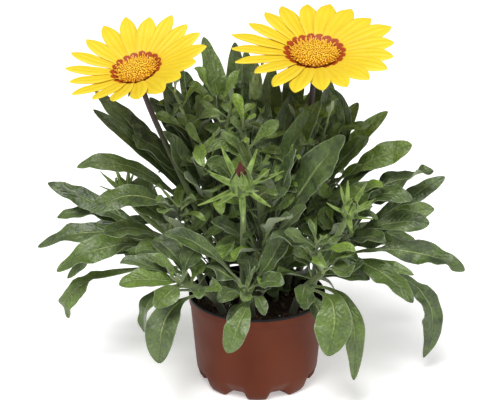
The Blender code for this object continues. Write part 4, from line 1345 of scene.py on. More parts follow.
    def build(self, above: bpy.types.Material, below: bpy.types.Material,
              bark: bpy.types.Material) -> bpy.types.Object:
        """Builds and dresses the shoot.

        Args:
            above: the finish of the leaves' upper faces.
            below: the finish of their undersides.
            bark: the finish of the stem.

        Returns:
            The finished piece.
        """
        leaves = self.placed() + self.heart()
        leaves += self.spray(self.stem(), self.side_leaves, f"side {self.name}", (32, 62), self.lowest)
        for k, twig in enumerate(self.twig_stems()):
            leaves += self.spray(twig, 9, f"twig {self.name} {k}", (24, 50))
        sheets = [dress(leaf.build(f"leaf_{k}"), above, below) for k, leaf in enumerate(leaves)]
        foliage = joined(f"{self.name}_leaves", sheets)
        apply_modifier(foliage, "SOLIDIFY", thickness=PETIOLE_THICKNESS * MM, offset=-1.0,
                       vertex_group="body", thickness_vertex_group=0.0, material_offset=1,
                       material_offset_rim=0)
        foliage.vertex_groups.clear()
        length = (Vector(self.head) - Vector(self.foot)).length
        shares = [-ROOT_DEPTH / length] + [k / 14 for k in range(15)]
        stems = [dress(lay_rod("stem", self.stem(), shares, 12, self.stem_radius), bark)]
        for twig in self.twig_stems():
            stems.append(dress(lay_rod("twig", twig, [k / 8 for k in range(9)], 8, self.twig_radius), bark))
        mark(foliage.data, REACH, EVEN)
        piece = joined(f"{self.name}_leaves", [foliage, *stems])
        return finish_piece(piece, "foliage", self.name, angle=60.0)

    @staticmethod
    def twig_radius(share: float) -> float:
        """A side stem's radius at share."""
        return mix(1.7, 1.1, share)

    @staticmethod
    def stem_radius(share: float) -> float:
        """The stem's radius at share, a little swollen at each leaf's foot."""
        knots = 0.12 * max(0.0, math.sin(share * 40.0)) * smooth_step(0.35, 0.5, share)
        return mix(SHOOT_FOOT_RADIUS, SHOOT_HEAD_RADIUS, max(0.0, share)) * (0.97 + knots)


SHOOTS = (
    Shoot("shoot_front_left", (-26, -20, 63), (-57, -50, 99), 3, -175, (30, 52), (8, 62), (14, 18), [
        Outline((-70, -86, 54), (0, 16, 18), 23, -6, 0.8),
        Outline((-84, -62, 66), (0, 14, 15), 16, 40, 0.7),
        Outline((-42, -68, 98), (0, 2, 4), 12, 4, 0.3),
        Outline((-99, -62, 104), (0, 0, 7), 19, 10, 0.5),
        Outline((-93, -40, 112), (0, 0, 8), 13, 0, 0.6),
        Outline((-100, -46, 116), (0, 4, 8), 9, 10, 0.3),
        Outline((-80, -20, 121), (0, 0, 6), 15, 8, 0.5),
        Outline((-44, -38, 117), (0, 0, 1), 15, 0, 0.4),
    ], 0, 3),
    Shoot("shoot_front", (-4, -28, 63), (-8, -44, 93), 2, 20, (26, 44), (20, 62), (14, 18), [
        Outline((-21, -58, 70), (0, 2, 5), 8, 0, 0.3),
        Outline((-22, -82, 58), (7, 12, 16), 18, 8, 0.6),
        Outline((-28, -62, 92), (0, 0, 5), 13, -4, 0.3),
        Outline((5, -66, 82), (0, 3, 6), 9, 12, 0.3),
        Outline((14, -40, 114), (0, 0, 3), 15, 10, 0.4),
        Outline((30, -46, 134), (0, 0, 2), 19, 14, 0.7),
        Outline((-37, -46, 112), (0, 0, 5), 15, 35, 1.2),
        Outline((-66, -52, 141), (0, 0, 8), 14, 0, 0.5),
    ], 0, 2),
    Shoot("shoot_front_right", (27, -20, 63), (48, -40, 104), 3, 95, (28, 54), (10, 60), (15, 19), [
        Outline((49, -56, 66), (0, 4, 8), 12, 30, 0.4),
        Outline((50, -82, 58), (6, 15, 18), 27, 6, 1.2),
        Outline((71, -64, 28), (0, 14, 26), 14, 16, 0.6),
        Outline((31, -64, 90), (0, 0, 5), 13, -12, 0.3),
        Outline((83, -26, 97), (0, 0, 6), 12, -10, 0.4),
        Outline((78, -36, 111), (0, 0, 3), 14, 6, 0.4),
        Outline((28, -36, 120), (0, 0, 4), 14, -8, 0.4),
        Outline((58, -42, 126), (0, 0, 1), 10, 0, 0.3),
    ], 1, 4),
    Shoot("shoot_right", (37, 2, 63), (68, -2, 118), 5, 10, (34, 74), (20, 66), (14, 18), [
        Outline((132, 0, 13), (0, 34, 26), 17, 30, 1.8),
        Outline((115, -36, 101), (0, 0, 8), 9, 0, 0.4),
        Outline((156, -18, 96), (0, 2, 16), 19, 8, 1.6),
        Outline((112, -60, 89), (0, 4, 14), 19, -8, 0.8),
        Outline((132, -4, 142), (0, 0, 6), 18, 20, 1.5),
        Outline((143, 20, 158), (0, 0, 2), 15, 12, 0.6),
        Outline((92, -44, 130), (0, 0, 4), 16, 0, 0.7),
        Outline((62, -38, 142), (0, 0, 2), 14, 0, 0.5),
    ], 3, 10, (24, 44)),
    Shoot("shoot_left", (-37, 2, 63), (-68, -4, 122), 5, -80, (36, 74), (18, 66), (14, 18), [
        Outline((-143, -20, 58), (0, 28, 14), 14, -30, 2.0),
        Outline((-148, 12, 77), (0, 2, 22), 13, 0, 1.2),
        Outline((-168, 0, 110), (0, -4, 18), 16, 6, 1.0),
        Outline((-149, -32, 103), (0, 0, 16), 20, 6, 1.0),
        Outline((-156, 14, 126), (0, 2, 12), 13, 10, 1.2),
        Outline((-158, 30, 152), (0, 0, 4), 16, -6, 0.6),
        Outline((-88, -36, 160), (0, 0, 5), 16, 0, 0.5),
        Outline((-64, -46, 150), (0, 0, 4), 15, 0, 0.5),
    ], 1, 10, (24, 44)),
    Shoot("shoot_upper_left", (-20, 12, 63), (-42, 12, 150), 6, 150, (52, 84), (34, 74), (15, 19), [
        Outline((-119, -50, 156), (0, 4, 24), 18, -12, 0.8),
        Outline((-136, 10, 170), (0, 2, 24), 14, -6, 0.8),
        Outline((-122, 16, 212), (0, -3, 5), 12, 0, 0.5),
        Outline((-123, 40, 219), (0, -3, 6), 18, 4, 0.5),
        Outline((-98, 18, 196), (0, 0, 4), 16, 10, 0.6),
        Outline((-80, 26, 219), (0, -5, 5), 14, 0, 0.5),
        Outline((-67, -8, 203), (0, 0, 4), 15, 10, 0.6),
        Outline((-76, 36, 226), (4, -6, 4), 18, -10, 0.5),
        Outline((-52, -34, 176), (0, 0, 6), 16, 0, 0.5),
        Outline((-32, -28, 166), (0, 0, 6), 14, 0, 0.5),
    ], 5, 10, (44, 94)),
    Shoot("shoot_upper_right", (22, 14, 63), (46, 12, 150), 6, 40, (48, 84), (34, 74), (15, 19), [
        Outline((113, -24, 155), (0, 6, 20), 16, 0, 0.7),
        Outline((131, 4, 170), (0, 4, 10), 19, -40, 2.2),
        Outline((94, -14, 167), (0, 2, 6), 16, 0, 0.8),
        Outline((110, 10, 186), (0, 2, 14), 15, 0, 0.5),
        Outline((99, 22, 182), (0, 12, 12), 9, 20, 0.5),
        Outline((98, 26, 208), (0, -3, 8), 13, 10, 0.5),
        Outline((69, 20, 226), (0, 22, 6), 10, 0, 0.8),
        Outline((78, 34, 212), (-4, -5, 6), 15, 0, 0.5),
        Outline((62, 32, 228), (0, -2, 2), 20, 50, 0.5),
        Outline((81, -2, 196), (0, 0, 8), 14, 0, 0.6),
        Outline((54, -36, 182), (0, 0, 6), 14, 0, 0.5),
        Outline((76, -34, 164), (0, 0, 6), 14, 0, 0.5),
    ], 4, 10, (44, 88)),
    Shoot("shoot_centre", (2, -8, 63), (4, -14, 122), 6, -60, (56, 88), (40, 78), (15, 20), [
        Outline((-42, -18, 188), (0, -10, 46), 17, 10, 0.6),
        Outline((-36, -34, 186), (0, 2, 26), 13, -10, 0.6),
        Outline((60, -50, 212), (0, -2, 6), 24, 8, 0.7),
        Outline((8, 14, 218), (4, -6, 6), 17, 0, 0.6),
        Outline((26, -36, 198), (0, 0, 4), 15, 0, 0.5),
        Outline((46, -4, 224), (0, -7, 6), 18, 0, 0.5),
        Outline((20, 8, 226), (0, -2, 3), 17, 10, 0.5),
        Outline((-30, -46, 146), (0, 0, 5), 13, 0, 0.5),
        Outline((34, -52, 160), (0, 0, 5), 14, 0, 0.5),
    ], 5, 16, (42, 92), 0.08),
    Shoot("shoot_back_left", (-30, 32, 63), (-56, 56, 108), 8, -120, (50, 100), (-16, 60), (15, 21), [
        Outline((4, 64, 118), (0, 0, 8), 19, 0, 0.6),
        Outline((-20, 62, 160), (0, 0, 6), 18, 0, 0.6),
    ], 2, 14, (24, 44), 0.1),
    Shoot("shoot_back", (-9, 36, 63), (-24, 46, 150), 6, 170, (46, 90), (-4, 72), (15, 21), [
        Outline((-49, 66, 254), (0, -4, 4), 19, 6, 0.6),
        Outline((-17, 70, 250), (0, 0, 2), 16, 0, 0.5),
        Outline((-46, 44, 236), (0, 0, 3), 14, 12, 0.5),
        Outline((-59, 60, 232), (0, 0, 3), 15, 0, 0.5),
        Outline((-30, 20, 222), (0, 0, 2), 18, 0, 0.5),
    ], 5, 24, (52, 82), 0.02),
    Shoot("shoot_top", (12, 34, 63), (14, 46, 148), 6, 120, (46, 90), (-4, 72), (15, 21), [
        Outline((-9, 60, 246), (0, 0, 2), 18, 6, 0.5),
        Outline((30, 62, 242), (-5, -4, 6), 17, -8, 0.6),
        Outline((12, 44, 238), (5, -5, 4), 18, 0, 0.5),
        Outline((6, 20, 206), (0, 0, 4), 17, 0, 0.5),
        Outline((48, 52, 222), (0, 0, 3), 17, 0, 0.5),
        Outline((-10, 44, 226), (0, -2, 1), 15, -10, 0.5),
    ], 4, 24, (52, 82), 0.02),
    Shoot("shoot_back_right", (30, 32, 63), (56, 56, 106), 8, 130, (50, 100), (-16, 60), (15, 21), [
        Outline((-8, 74, 98), (0, 0, 8), 18, 0, 0.6),
        Outline((10, 60, 146), (0, 0, 6), 18, 0, 0.6),
    ], 2, 14, (24, 44), 0.1),
)


# Flowers and buds


def rooted(controls: Sequence[Vector], steps: int) -> list[float]:
    """Even shares of a stem, with one more below its foot that goes into the compost.

    Args:
        controls: the stem's control points.
        steps: how many steps it has.

    Returns:
        The shares, from just below 0 to 1.
    """
    length = (controls[-1] - controls[0]).length
    return [-ROOT_DEPTH / length] + [k / steps for k in range(steps + 1)]


def standing(centre: Vector, normal: Vector) -> Matrix:
    """The place of a flower or bud.

    Args:
        centre: its centre in millimetres.
        normal: the direction in which it looks.

    Returns:
        The matrix that stands its own axes there, in millimetres.
    """
    normal = normal.normalized()
    toward = Vector((0.0, -1.0, 0.0))
    toward = (toward - normal * toward.dot(normal)).normalized()
    axes = Matrix((toward, normal.cross(toward), normal)).transposed()
    return Matrix.Translation(centre) @ axes.to_4x4()


def stand(obj: bpy.types.Object, place: Matrix) -> bpy.types.Object:
    """Moves a mesh made on the origin to its place.

    Args:
        obj: the object.
        place: where its own axes stand, in millimetres.

    Returns:
        The object.
    """
    matrix = place.copy()
    matrix.translation = place.translation * MM
    obj.data.transform(matrix)
    return obj


@dataclass(frozen=True)
class Bract:
    """A narrow pointed bract that curls up along its length."""

    root: Vector
    heading: Vector
    length: float
    curl: float
    width: float = BRACT_WIDTH
    phase: float = 0.0

    COLUMNS = (-1.0, -0.55, 0.0, 0.55, 1.0)
    ROWS = 12
    THICKNESS = 0.7
    BEND = 0.09

    def surface(self, across: float, share: float) -> Vector:
        """The point of its upper face.

        Args:
            across: from -1 at one margin to 1 at the other.
            share: how far along.

        Returns:
            The point.
        """
        heading = self.heading.normalized()
        side = UP.cross(heading).normalized()
        normal = heading.cross(side)
        path = [self.root, self.root + heading * self.length * 0.5,
                self.root + heading * self.length + normal * self.curl * self.length]
        upward = bezier_heading(path, share).cross(side)
        reach = self.width / 2.0 * mix(0.8, 1.0, math.sin(math.pi * share)) * (1.0 - share ** 2.4)
        aside = across * reach + self.BEND * self.length * share ** 2 * math.sin(2.4 * self.phase)
        fold = 0.24 * self.width * abs(across) ** 1.5 * (1.0 - share)
        lift = fold + 0.25 * math.sin(5.0 * share + self.phase) * abs(across) + 0.4
        return bezier(path, share) - side * aside + upward * lift

    def build(self, name: str, tone: float) -> bpy.types.Object:
        """Lays its upper face.

        Args:
            name: the object's name.
            tone: the number that the finish varies by.

        Returns:
            The sheet, ready to be thickened.
        """
        shares = [min(0.99, k / self.ROWS) for k in range(self.ROWS + 1)]
        return lay_sheet(name, self.COLUMNS, shares, self.surface, tone)


def thickened(name: str, sheets: Sequence[bpy.types.Object], thickness: float) -> bpy.types.Object:
    """Joins sheets and gives them a thickness below their upper face.

    Args:
        name: the result's name.
        sheets: the sheets.
        thickness: in millimetres.

    Returns:
        The joined piece.
    """
    piece = joined(name, sheets)
    slots = 1 if len(piece.data.materials) > 1 else 0
    apply_modifier(piece, "SOLIDIFY", thickness=thickness * MM, offset=-1.0, material_offset=slots,
                   material_offset_rim=0)
    if REACH not in piece.data.attributes:
        mark(piece.data, REACH, EVEN)
    return piece


@dataclass(frozen=True)
class Ray:
    """One ray floret in its flower's own axes."""

    azimuth: float
    reach: float
    lift: float
    roll: float
    width: float
    arch: float
    disc: float
    blotch: float

    COLUMNS = tuple(k / 6 for k in range(-6, 7))
    ROWS = 18
    THICKNESS = 0.5
    FOLD = 0.5
    START = 2.0
    CUP_RISE = 2.2

    def middle(self, share: float) -> Vector:
        """The middle line, cupped round the disc and arched beyond.

        Args:
            share: how far along.

        Returns:
            The point.
        """
        out = mix(self.disc - self.START, self.reach, share)
        rise = self.lift * share ** 1.4 + self.arch * math.sin(math.pi * share ** 1.3)
        rise += self.CUP_RISE * smooth_step(0.03, 0.17, share) * (1.0 - smooth_step(0.17, 0.6, share))
        return Vector((out, 0.0, rise - RAY_THICKNESS))

    def half_width(self, share: float) -> float:
        """Half its width: narrow at the foot, broad past the middle and drawn to a blunt point.

        Args:
            share: how far along.

        Returns:
            The half width.
        """
        if share < RAY_BROADEST:
            return self.width / 2.0 * mix(RAY_BASE, 1.0, math.sin(math.pi / 2.0 * share / RAY_BROADEST))
        beyond = (share - RAY_BROADEST) / (1.0 - RAY_BROADEST)
        return self.width / 2.0 * max(0.0, 1.0 - beyond ** 2) ** 0.75

    def surface(self, across: float, share: float) -> Vector:
        """The point of its upper face.

        Args:
            across: from -1 at one margin to 1 at the other.
            share: how far along.

        Returns:
            The point.
        """
        step = 0.02
        heading = (self.middle(min(1.0, share + step)) - self.middle(max(0.0, share - step))).normalized()
        roll = math.radians(self.roll * smooth_step(0.0, 0.3, share))
        side = Matrix.Rotation(roll, 3, heading) @ Vector((0.0, 1.0, 0.0))
        normal = heading.cross(side)
        fold = self.FOLD * math.cos(3.0 * math.pi * across)
        fold *= smooth_step(0.1, 0.4, share) * (1.0 - share ** 4)
        droop = -0.5 * share * abs(across) - 0.5 * across ** 2 * smooth_step(0.2, 0.6, share)
        lift = 0.35 + fold + droop
        point = self.middle(share) - side * across * self.half_width(share) + normal * lift
        return Matrix.Rotation(math.radians(self.azimuth), 3, "Z") @ point

    def build(self, name: str) -> bpy.types.Object:
        """Lays its upper face and stores how far each point is across the blotch.

        Args:
            name: the object's name.

        Returns:
            The sheet, ready to be thickened.
        """
        steps = [k / self.ROWS for k in range(self.ROWS + 1)]
        shares = [min(0.996, t * (1.3 - 0.3 * t)) for t in steps]
        obj = lay_sheet(name, self.COLUMNS, shares, self.surface, 0.5)
        out = np.hypot(*coordinates(obj.data)[:, :2].T) / MM
        mark(obj.data, REACH, (out - self.disc + 1.5) / self.blotch)
        return obj


@dataclass(frozen=True)
class Flower:
    """An open flower on its stalk: a ring of rays round a dome of florets, in a toothed green cup."""

    name: str
    foot: Sequence[float]
    centre: Sequence[float]
    normal: Sequence[float]
    spin: float
    rays: int
    radius: float
    disc: float
    cup: float
    lift: float
    arch: float
    ray_width: float
    blotch: float = 8.3
    tall_florets: int = 30
    low_florets: int = 330

    DISC_SIDES = 40
    DISC_INSET = 0.4
    CUP_SIDES = 36
    STALK_SIDES = 14
    STALK_STEPS = 28
    # Rings of tall florets: share of the disc's reach, height and lean.
    TALL_RINGS = ((0.90, 4.4, 0.60), (0.95, 5.2, 0.92))
    # Rows of teeth on the cup: drop below its mouth and length.
    TEETH = ((4.5, TOOTH_LENGTH), (7.0, 8.0))

    def place(self) -> Matrix:
        """Where the flower stands."""
        return standing(Vector(self.centre), Vector(self.normal))

    def stalk(self) -> list[Vector]:
        """The middle line of the stalk.

        Returns:
            Its control points.
        """
        normal = Vector(self.normal).normalized()
        head = Vector(self.centre) - normal * (RING_THICKNESS + SEAT_GAP + CUP_HEIGHT - 2.0)
        return stem_controls(Vector(self.foot), head, normal)

    def ray_list(self) -> list[Ray]:
        """The rays, each a little different, by the solids' own seeded draw.

        Returns:
            The rays, once round the flower.
        """
        draw = random.Random(self.name)
        found = []
        for k in range(self.rays):
            azimuth = self.spin + 360.0 * k / self.rays + draw.uniform(-1.2, 1.2)
            reach = self.radius * draw.uniform(0.92, 1.04)
            lift = self.lift + draw.uniform(-0.6, 0.6)
            roll = RAY_ROLL + draw.uniform(-1.5, 1.5)
            width = self.ray_width * draw.uniform(0.92, 1.05)
            found.append(Ray(azimuth, reach, lift, roll, width, self.arch, self.disc, self.blotch))
        return found

    def build_rays(self, above: bpy.types.Material, below: bpy.types.Material) -> bpy.types.Object:
        """Builds the yellow rays and the thin ring that joins their feet.

        Args:
            above: the finish of their upper faces.
            below: the finish of their undersides.

        Returns:
            The finished piece.
        """
        sheets = [dress(ray.build(f"ray_{k}"), above, below) for k, ray in enumerate(self.ray_list())]
        petals = thickened(f"{self.name}_petals", sheets, Ray.THICKNESS)
        outer, inner = self.disc - 0.2, self.disc - 5.0
        profile = [(inner, -RING_THICKNESS), (outer, -RING_THICKNESS), (outer, -0.4), (inner, -0.2)]
        ring = turned("ring", profile, self.DISC_SIDES)
        mark(ring.data, TONE, EVEN)
        mark(ring.data, REACH, 0.0)
        piece = stand(joined(petals.name, [petals, dress(ring, above)]), self.place())
        return finish_piece(piece, "ray", f"{self.name}_rays", angle=60.0)

    def disc_reach(self) -> float:
        """The radius of the florets' dome."""
        return self.disc - self.DISC_INSET

    def dome(self, out: float) -> float:
        """The height of the disc's dome at a distance from its centre."""
        return SEAT_GAP + 0.8 + 0.6 * DISC_DOME * (1.0 - (out / self.disc_reach()) ** 2.5)

    def build_disc(self, florets: bpy.types.Material) -> bpy.types.Object:
        """Builds the dome of florets: low in the middle, tall and leaning out at its margin.

        Args:
            florets: their finish.

        Returns:
            The finished piece.
        """
        reach = self.disc_reach()
        shares = (1.0, 0.97, 0.9, 0.8, 0.65, 0.5, 0.3, 0.1)
        profile = [(reach * 0.98, SEAT_GAP + 0.3)] + [(reach * s, self.dome(reach * s)) for s in shares]
        base = turned("dome", profile, self.DISC_SIDES)
        mark(base.data, TONE, 0.0)
        mark(base.data, REACH, LOW_FOOT)
        draw = random.Random(f"florets {self.name}")
        rows = []
        for k in range(self.low_florets):
            out = reach * 0.96 * math.sqrt((k + 0.5) / self.low_florets)
            outer = smooth_step(0.55, 1.0, out / reach)
            height = mix(2.0, 3.3, outer) * draw.uniform(0.75, 1.2)
            turn = math.radians(GOLDEN_ANGLE * k + draw.uniform(-4, 4))
            rows.append((out, turn, height, 1.8, 0.2 * out / reach + 0.6 * outer, LOW_FOOT))
        for ring, (share, height, lean) in enumerate(self.TALL_RINGS):
            for k in range(self.tall_florets):
                turn = math.tau * (k + 0.5 * ring + draw.uniform(-0.15, 0.15)) / self.tall_florets
                lift = draw.uniform(-0.2, 0.15)
                rows.append((reach * share, turn, height * draw.uniform(0.75, 1.15), 1.05, lean + lift, 0.0))
        objects = [dress(base, florets)]
        for k, (out, turn, height, girth, lean, pale) in enumerate(rows):
            obj = copy_of(STOCK.floret(), f"floret_{k}")
            mark(obj.data, REACH, pale + (1.0 - pale) * coordinates(obj.data)[:, 2])
            mark(obj.data, TONE, draw.random())
            around = Vector((math.cos(turn), math.sin(turn), 0.0))
            tilt = Matrix.Rotation(lean, 4, Vector((-around.y, around.x, 0.0)))
            size = Matrix.Diagonal((girth, girth, height, 1.0))
            spot = Matrix.Translation(around * out + UP * (self.dome(out) - 0.4))
            obj.data.transform(Matrix.Scale(MM, 4) @ spot @ tilt @ size)
            objects.append(dress(obj, florets))
        piece = stand(joined(f"{self.name}_florets", objects), self.place())
        return finish_piece(piece, "floret", f"{self.name}_disc", angle=35.0)

    def build_stalk(self, stalk: bpy.types.Material, green: bpy.types.Material) -> bpy.types.Object:
        """Builds the stalk with its green cup and the cup's teeth.

        Args:
            stalk: the stalk's finish.
            green: the cup's finish.

        Returns:
            The finished piece.
        """
        top = -RING_THICKNESS - SEAT_GAP
        foot = top - CUP_HEIGHT
        profile = [(PEDUNCLE_RADIUS * 1.25, foot), (PEDUNCLE_RADIUS * 1.9, foot + 2.0),
                   (self.cup * 0.52, foot + 4.0), (self.cup * 0.72, top - 7.0), (self.cup * 0.9, top - 4.0),
                   (self.cup, top - 1.0), (self.cup * 0.97, top)]
        cup = turned("cup", profile, self.CUP_SIDES)
        mark(cup.data, TONE, EVEN)
        mark(cup.data, REACH, EVEN)
        teeth = []
        for row, (drop, length) in enumerate(self.TEETH):
            for k in range(CUP_TEETH):
                angle = math.tau * (k + 0.5 + 0.5 * row) / CUP_TEETH
                out = Vector((math.cos(angle), math.sin(angle), 0.0))
                root = out * (self.cup * (0.8 - 0.1 * row)) + UP * (top - drop)
                tooth = Bract(root, out - UP * 0.25, length, TOOTH_CURL)
                teeth.append(dress(tooth.build(f"tooth_{k}", EVEN), green))
        parts = [dress(cup, green), thickened("teeth", teeth, Bract.THICKNESS)]
        head = stand(joined("cup", parts), self.place())
        controls = self.stalk()
        shares = rooted(controls, self.STALK_STEPS)
        rod = lay_rod("stalk", controls, shares, self.STALK_SIDES, self.stalk_radius)
        piece = joined(f"{self.name}_stalk", [dress(rod, stalk), head])
        return finish_piece(piece, "stalk", f"{self.name}_stem", angle=50.0)

    @staticmethod
    def stalk_radius(share: float) -> float:
        """The stalk's radius at share."""
        return PEDUNCLE_RADIUS * mix(1.15, 1.0, max(0.0, share))


FLOWERS = (
    Flower("flower_left", (-22, -5, 63), (-86, -12, 248), (-0.20, -0.36, 0.91), 4, 18, 52, 13.5,
           11, 14, 3, 14.0, blotch=7.2, low_florets=250, tall_florets=26),
    Flower("flower_right", (14, 2, 63), (41, 0, 257), (0.0, -0.33, 0.943), 4, 20, 60, 16.0,
           12, 10, 4, 15.5),
)


@dataclass(frozen=True)
class Bud:
    """A bud on its stalk: a swollen green cup in narrow bracts, some with rolled rays standing out."""

    name: str
    foot: Sequence[float]
    centre: Sequence[float]
    normal: Sequence[float]
    radius: float
    height: float
    bracts: int
    bract_length: float
    spread: float
    furled: bool = False
    striped: bool = False
    bract_width: float = BRACT_WIDTH
    sepals: int = 12
    sepal_share: float = 1.0

    BODY_SIDES = 32
    CONE_SIDES = 40
    STALK_SIDES = 12
    STALK_STEPS = 22
    # Rings of the body above its foot, as shares of the radius and the height.
    RINGS = ((0.70, 0.1), (0.84, 0.2), (0.93, 0.42), (0.86, 0.58), (0.72, 0.72), (0.54, 0.88), (0.40, 1.0))

    def place(self) -> Matrix:
        """Where the bud stands."""
        return standing(Vector(self.centre), Vector(self.normal))

    def build(self, green: bpy.types.Material, gap_shade: bpy.types.Material,
              stalk: bpy.types.Material) -> bpy.types.Object:
        """Builds the bud with its stalk and bracts.

        Args:
            green: the finish of the bracts.
            gap_shade: the finish of the body between the bracts, painted dark as the shade in their gaps.
            stalk: the stalk's finish.

        Returns:
            The finished piece.
        """
        radius, height = self.radius, self.height
        profile = [(radius * 0.3, 0.0), (radius * 0.45, 0.4)]
        profile += [(radius * wide, height * high) for wide, high in self.RINGS]
        body = turned("body", profile, self.BODY_SIDES)
        points = coordinates(body.data)
        turns = np.arctan2(points[:, 1], points[:, 0])
        points[:, :2] *= (1.0 + 0.05 * np.cos(8.0 * turns))[:, None]
        place_vertices(body.data, points)
        mark(body.data, TONE, 0.4)
        mark(body.data, REACH, EVEN)
        draw = random.Random(self.name)
        sheets = []
        for k in range(self.bracts):
            turn = math.radians(GOLDEN_ANGLE * k + draw.uniform(-8, 8))
            level = (k + 0.5) / self.bracts
            out = Vector((math.cos(turn), math.sin(turn), 0.0))
            root = out * radius * 0.62 + UP * height * mix(0.12, 0.55, level)
            rise = mix(-0.8, 1.3, level) * self.spread + (1.0 - self.spread) * 3.0
            length = self.bract_length * draw.uniform(0.85, 1.15)
            bract = Bract(root, out + UP * rise, length, BRACT_CURL, self.bract_width, float(k))
            sheets.append(dress(bract.build(f"bract_{k}", draw.random()), green))
        for k in range(self.sepals):
            turn = math.tau * (k + draw.uniform(-0.15, 0.15)) / self.sepals
            out = Vector((math.cos(turn), math.sin(turn), 0.0))
            root = out * radius * 0.86 + UP * height * draw.uniform(0.12, 0.22)
            length = height * self.sepal_share * draw.uniform(0.88, 1.10)
            bract = Bract(root, UP + out * 0.24, length, 0.52, radius * 0.42, float(k))
            sheets.append(dress(bract.build(f"sepal_{k}", draw.random()), green))
        # The body shows between the bracts, painted dark as the shade in their gaps.
        parts = [dress(body, gap_shade), thickened("bracts", sheets, Bract.THICKNESS)]
        head = stand(joined("head", parts), self.place())
        normal = Vector(self.normal)
        controls = stem_controls(Vector(self.foot), Vector(self.centre) + normal.normalized() * 2.0, normal)
        shares = rooted(controls, self.STALK_STEPS)
        rod = lay_rod("stalk", controls, shares, self.STALK_SIDES, self.stalk_radius)
        piece = joined(f"{self.name}_stalk", [dress(rod, stalk), head])
        return finish_piece(piece, "bract", self.name, angle=50.0)

    @staticmethod
    def stalk_radius(share: float) -> float:
        """The stalk's radius at share."""
        return BUD_STEM_RADIUS * mix(1.0, 0.9, max(0.0, share))

    def build_furled(self, wine: bpy.types.Material) -> bpy.types.Object:
        """Builds the cone of rolled rays on the bud's mouth.

        Args:
            wine: its finish.

        Returns:
            The finished piece.
        """
        shares = ((1.0, 0.0), (1.0, 0.10), (0.86, 0.3), (0.62, 0.52), (0.38, 0.75), (0.2, 0.9), (0.06, 1.0))
        profile = [(FURLED_RADIUS * wide, FURLED_HEIGHT * high) for wide, high in shares]
        cone = turned("cone", profile, self.CONE_SIDES)
        points = coordinates(cone.data)
        turns = np.arctan2(points[:, 1], points[:, 0]) + points[:, 2] / MM * 0.08
        points[:, :2] *= (1.0 - 0.42 * np.cos(3.5 * turns) ** 6)[:, None]
        points[:, 2] += (self.height + SEAT_GAP) * MM
        place_vertices(cone.data, points)
        mark(cone.data, TONE, EVEN)
        mark(cone.data, REACH, EVEN)
        piece = stand(dress(cone, wine), self.place())
        piece.name = piece.data.name = f"{self.name}_furled"
        return finish_piece(piece, "furled", f"{self.name}_rays", angle=50.0)


BUDS = (
    Bud("bud_front", (-11, -17, 63), (-11, -46, 168), (-0.05, -0.30, 1.0), 9.5, 17, 14, 25, 1.0, furled=True,
        bract_width=4.4),
    Bud("bud_right", (37, -17, 63), (64, -50, 152), (0.30, -0.35, 1.0), 6.5, 12, 10, 20, 0.8),
    Bud("bud_left", (-30, 22, 63), (-102, 40, 136), (-0.45, 0.10, 1.0), 6.0, 12, 8, 18, 0.7),
    Bud("bud_back", (-2, 16, 63), (-2, 30, 214), (0.10, 0.0, 1.0), 4.6, 17, 6, 13, 0.1,
        striped=True, sepal_share=1.5),
)


# Pot and compost


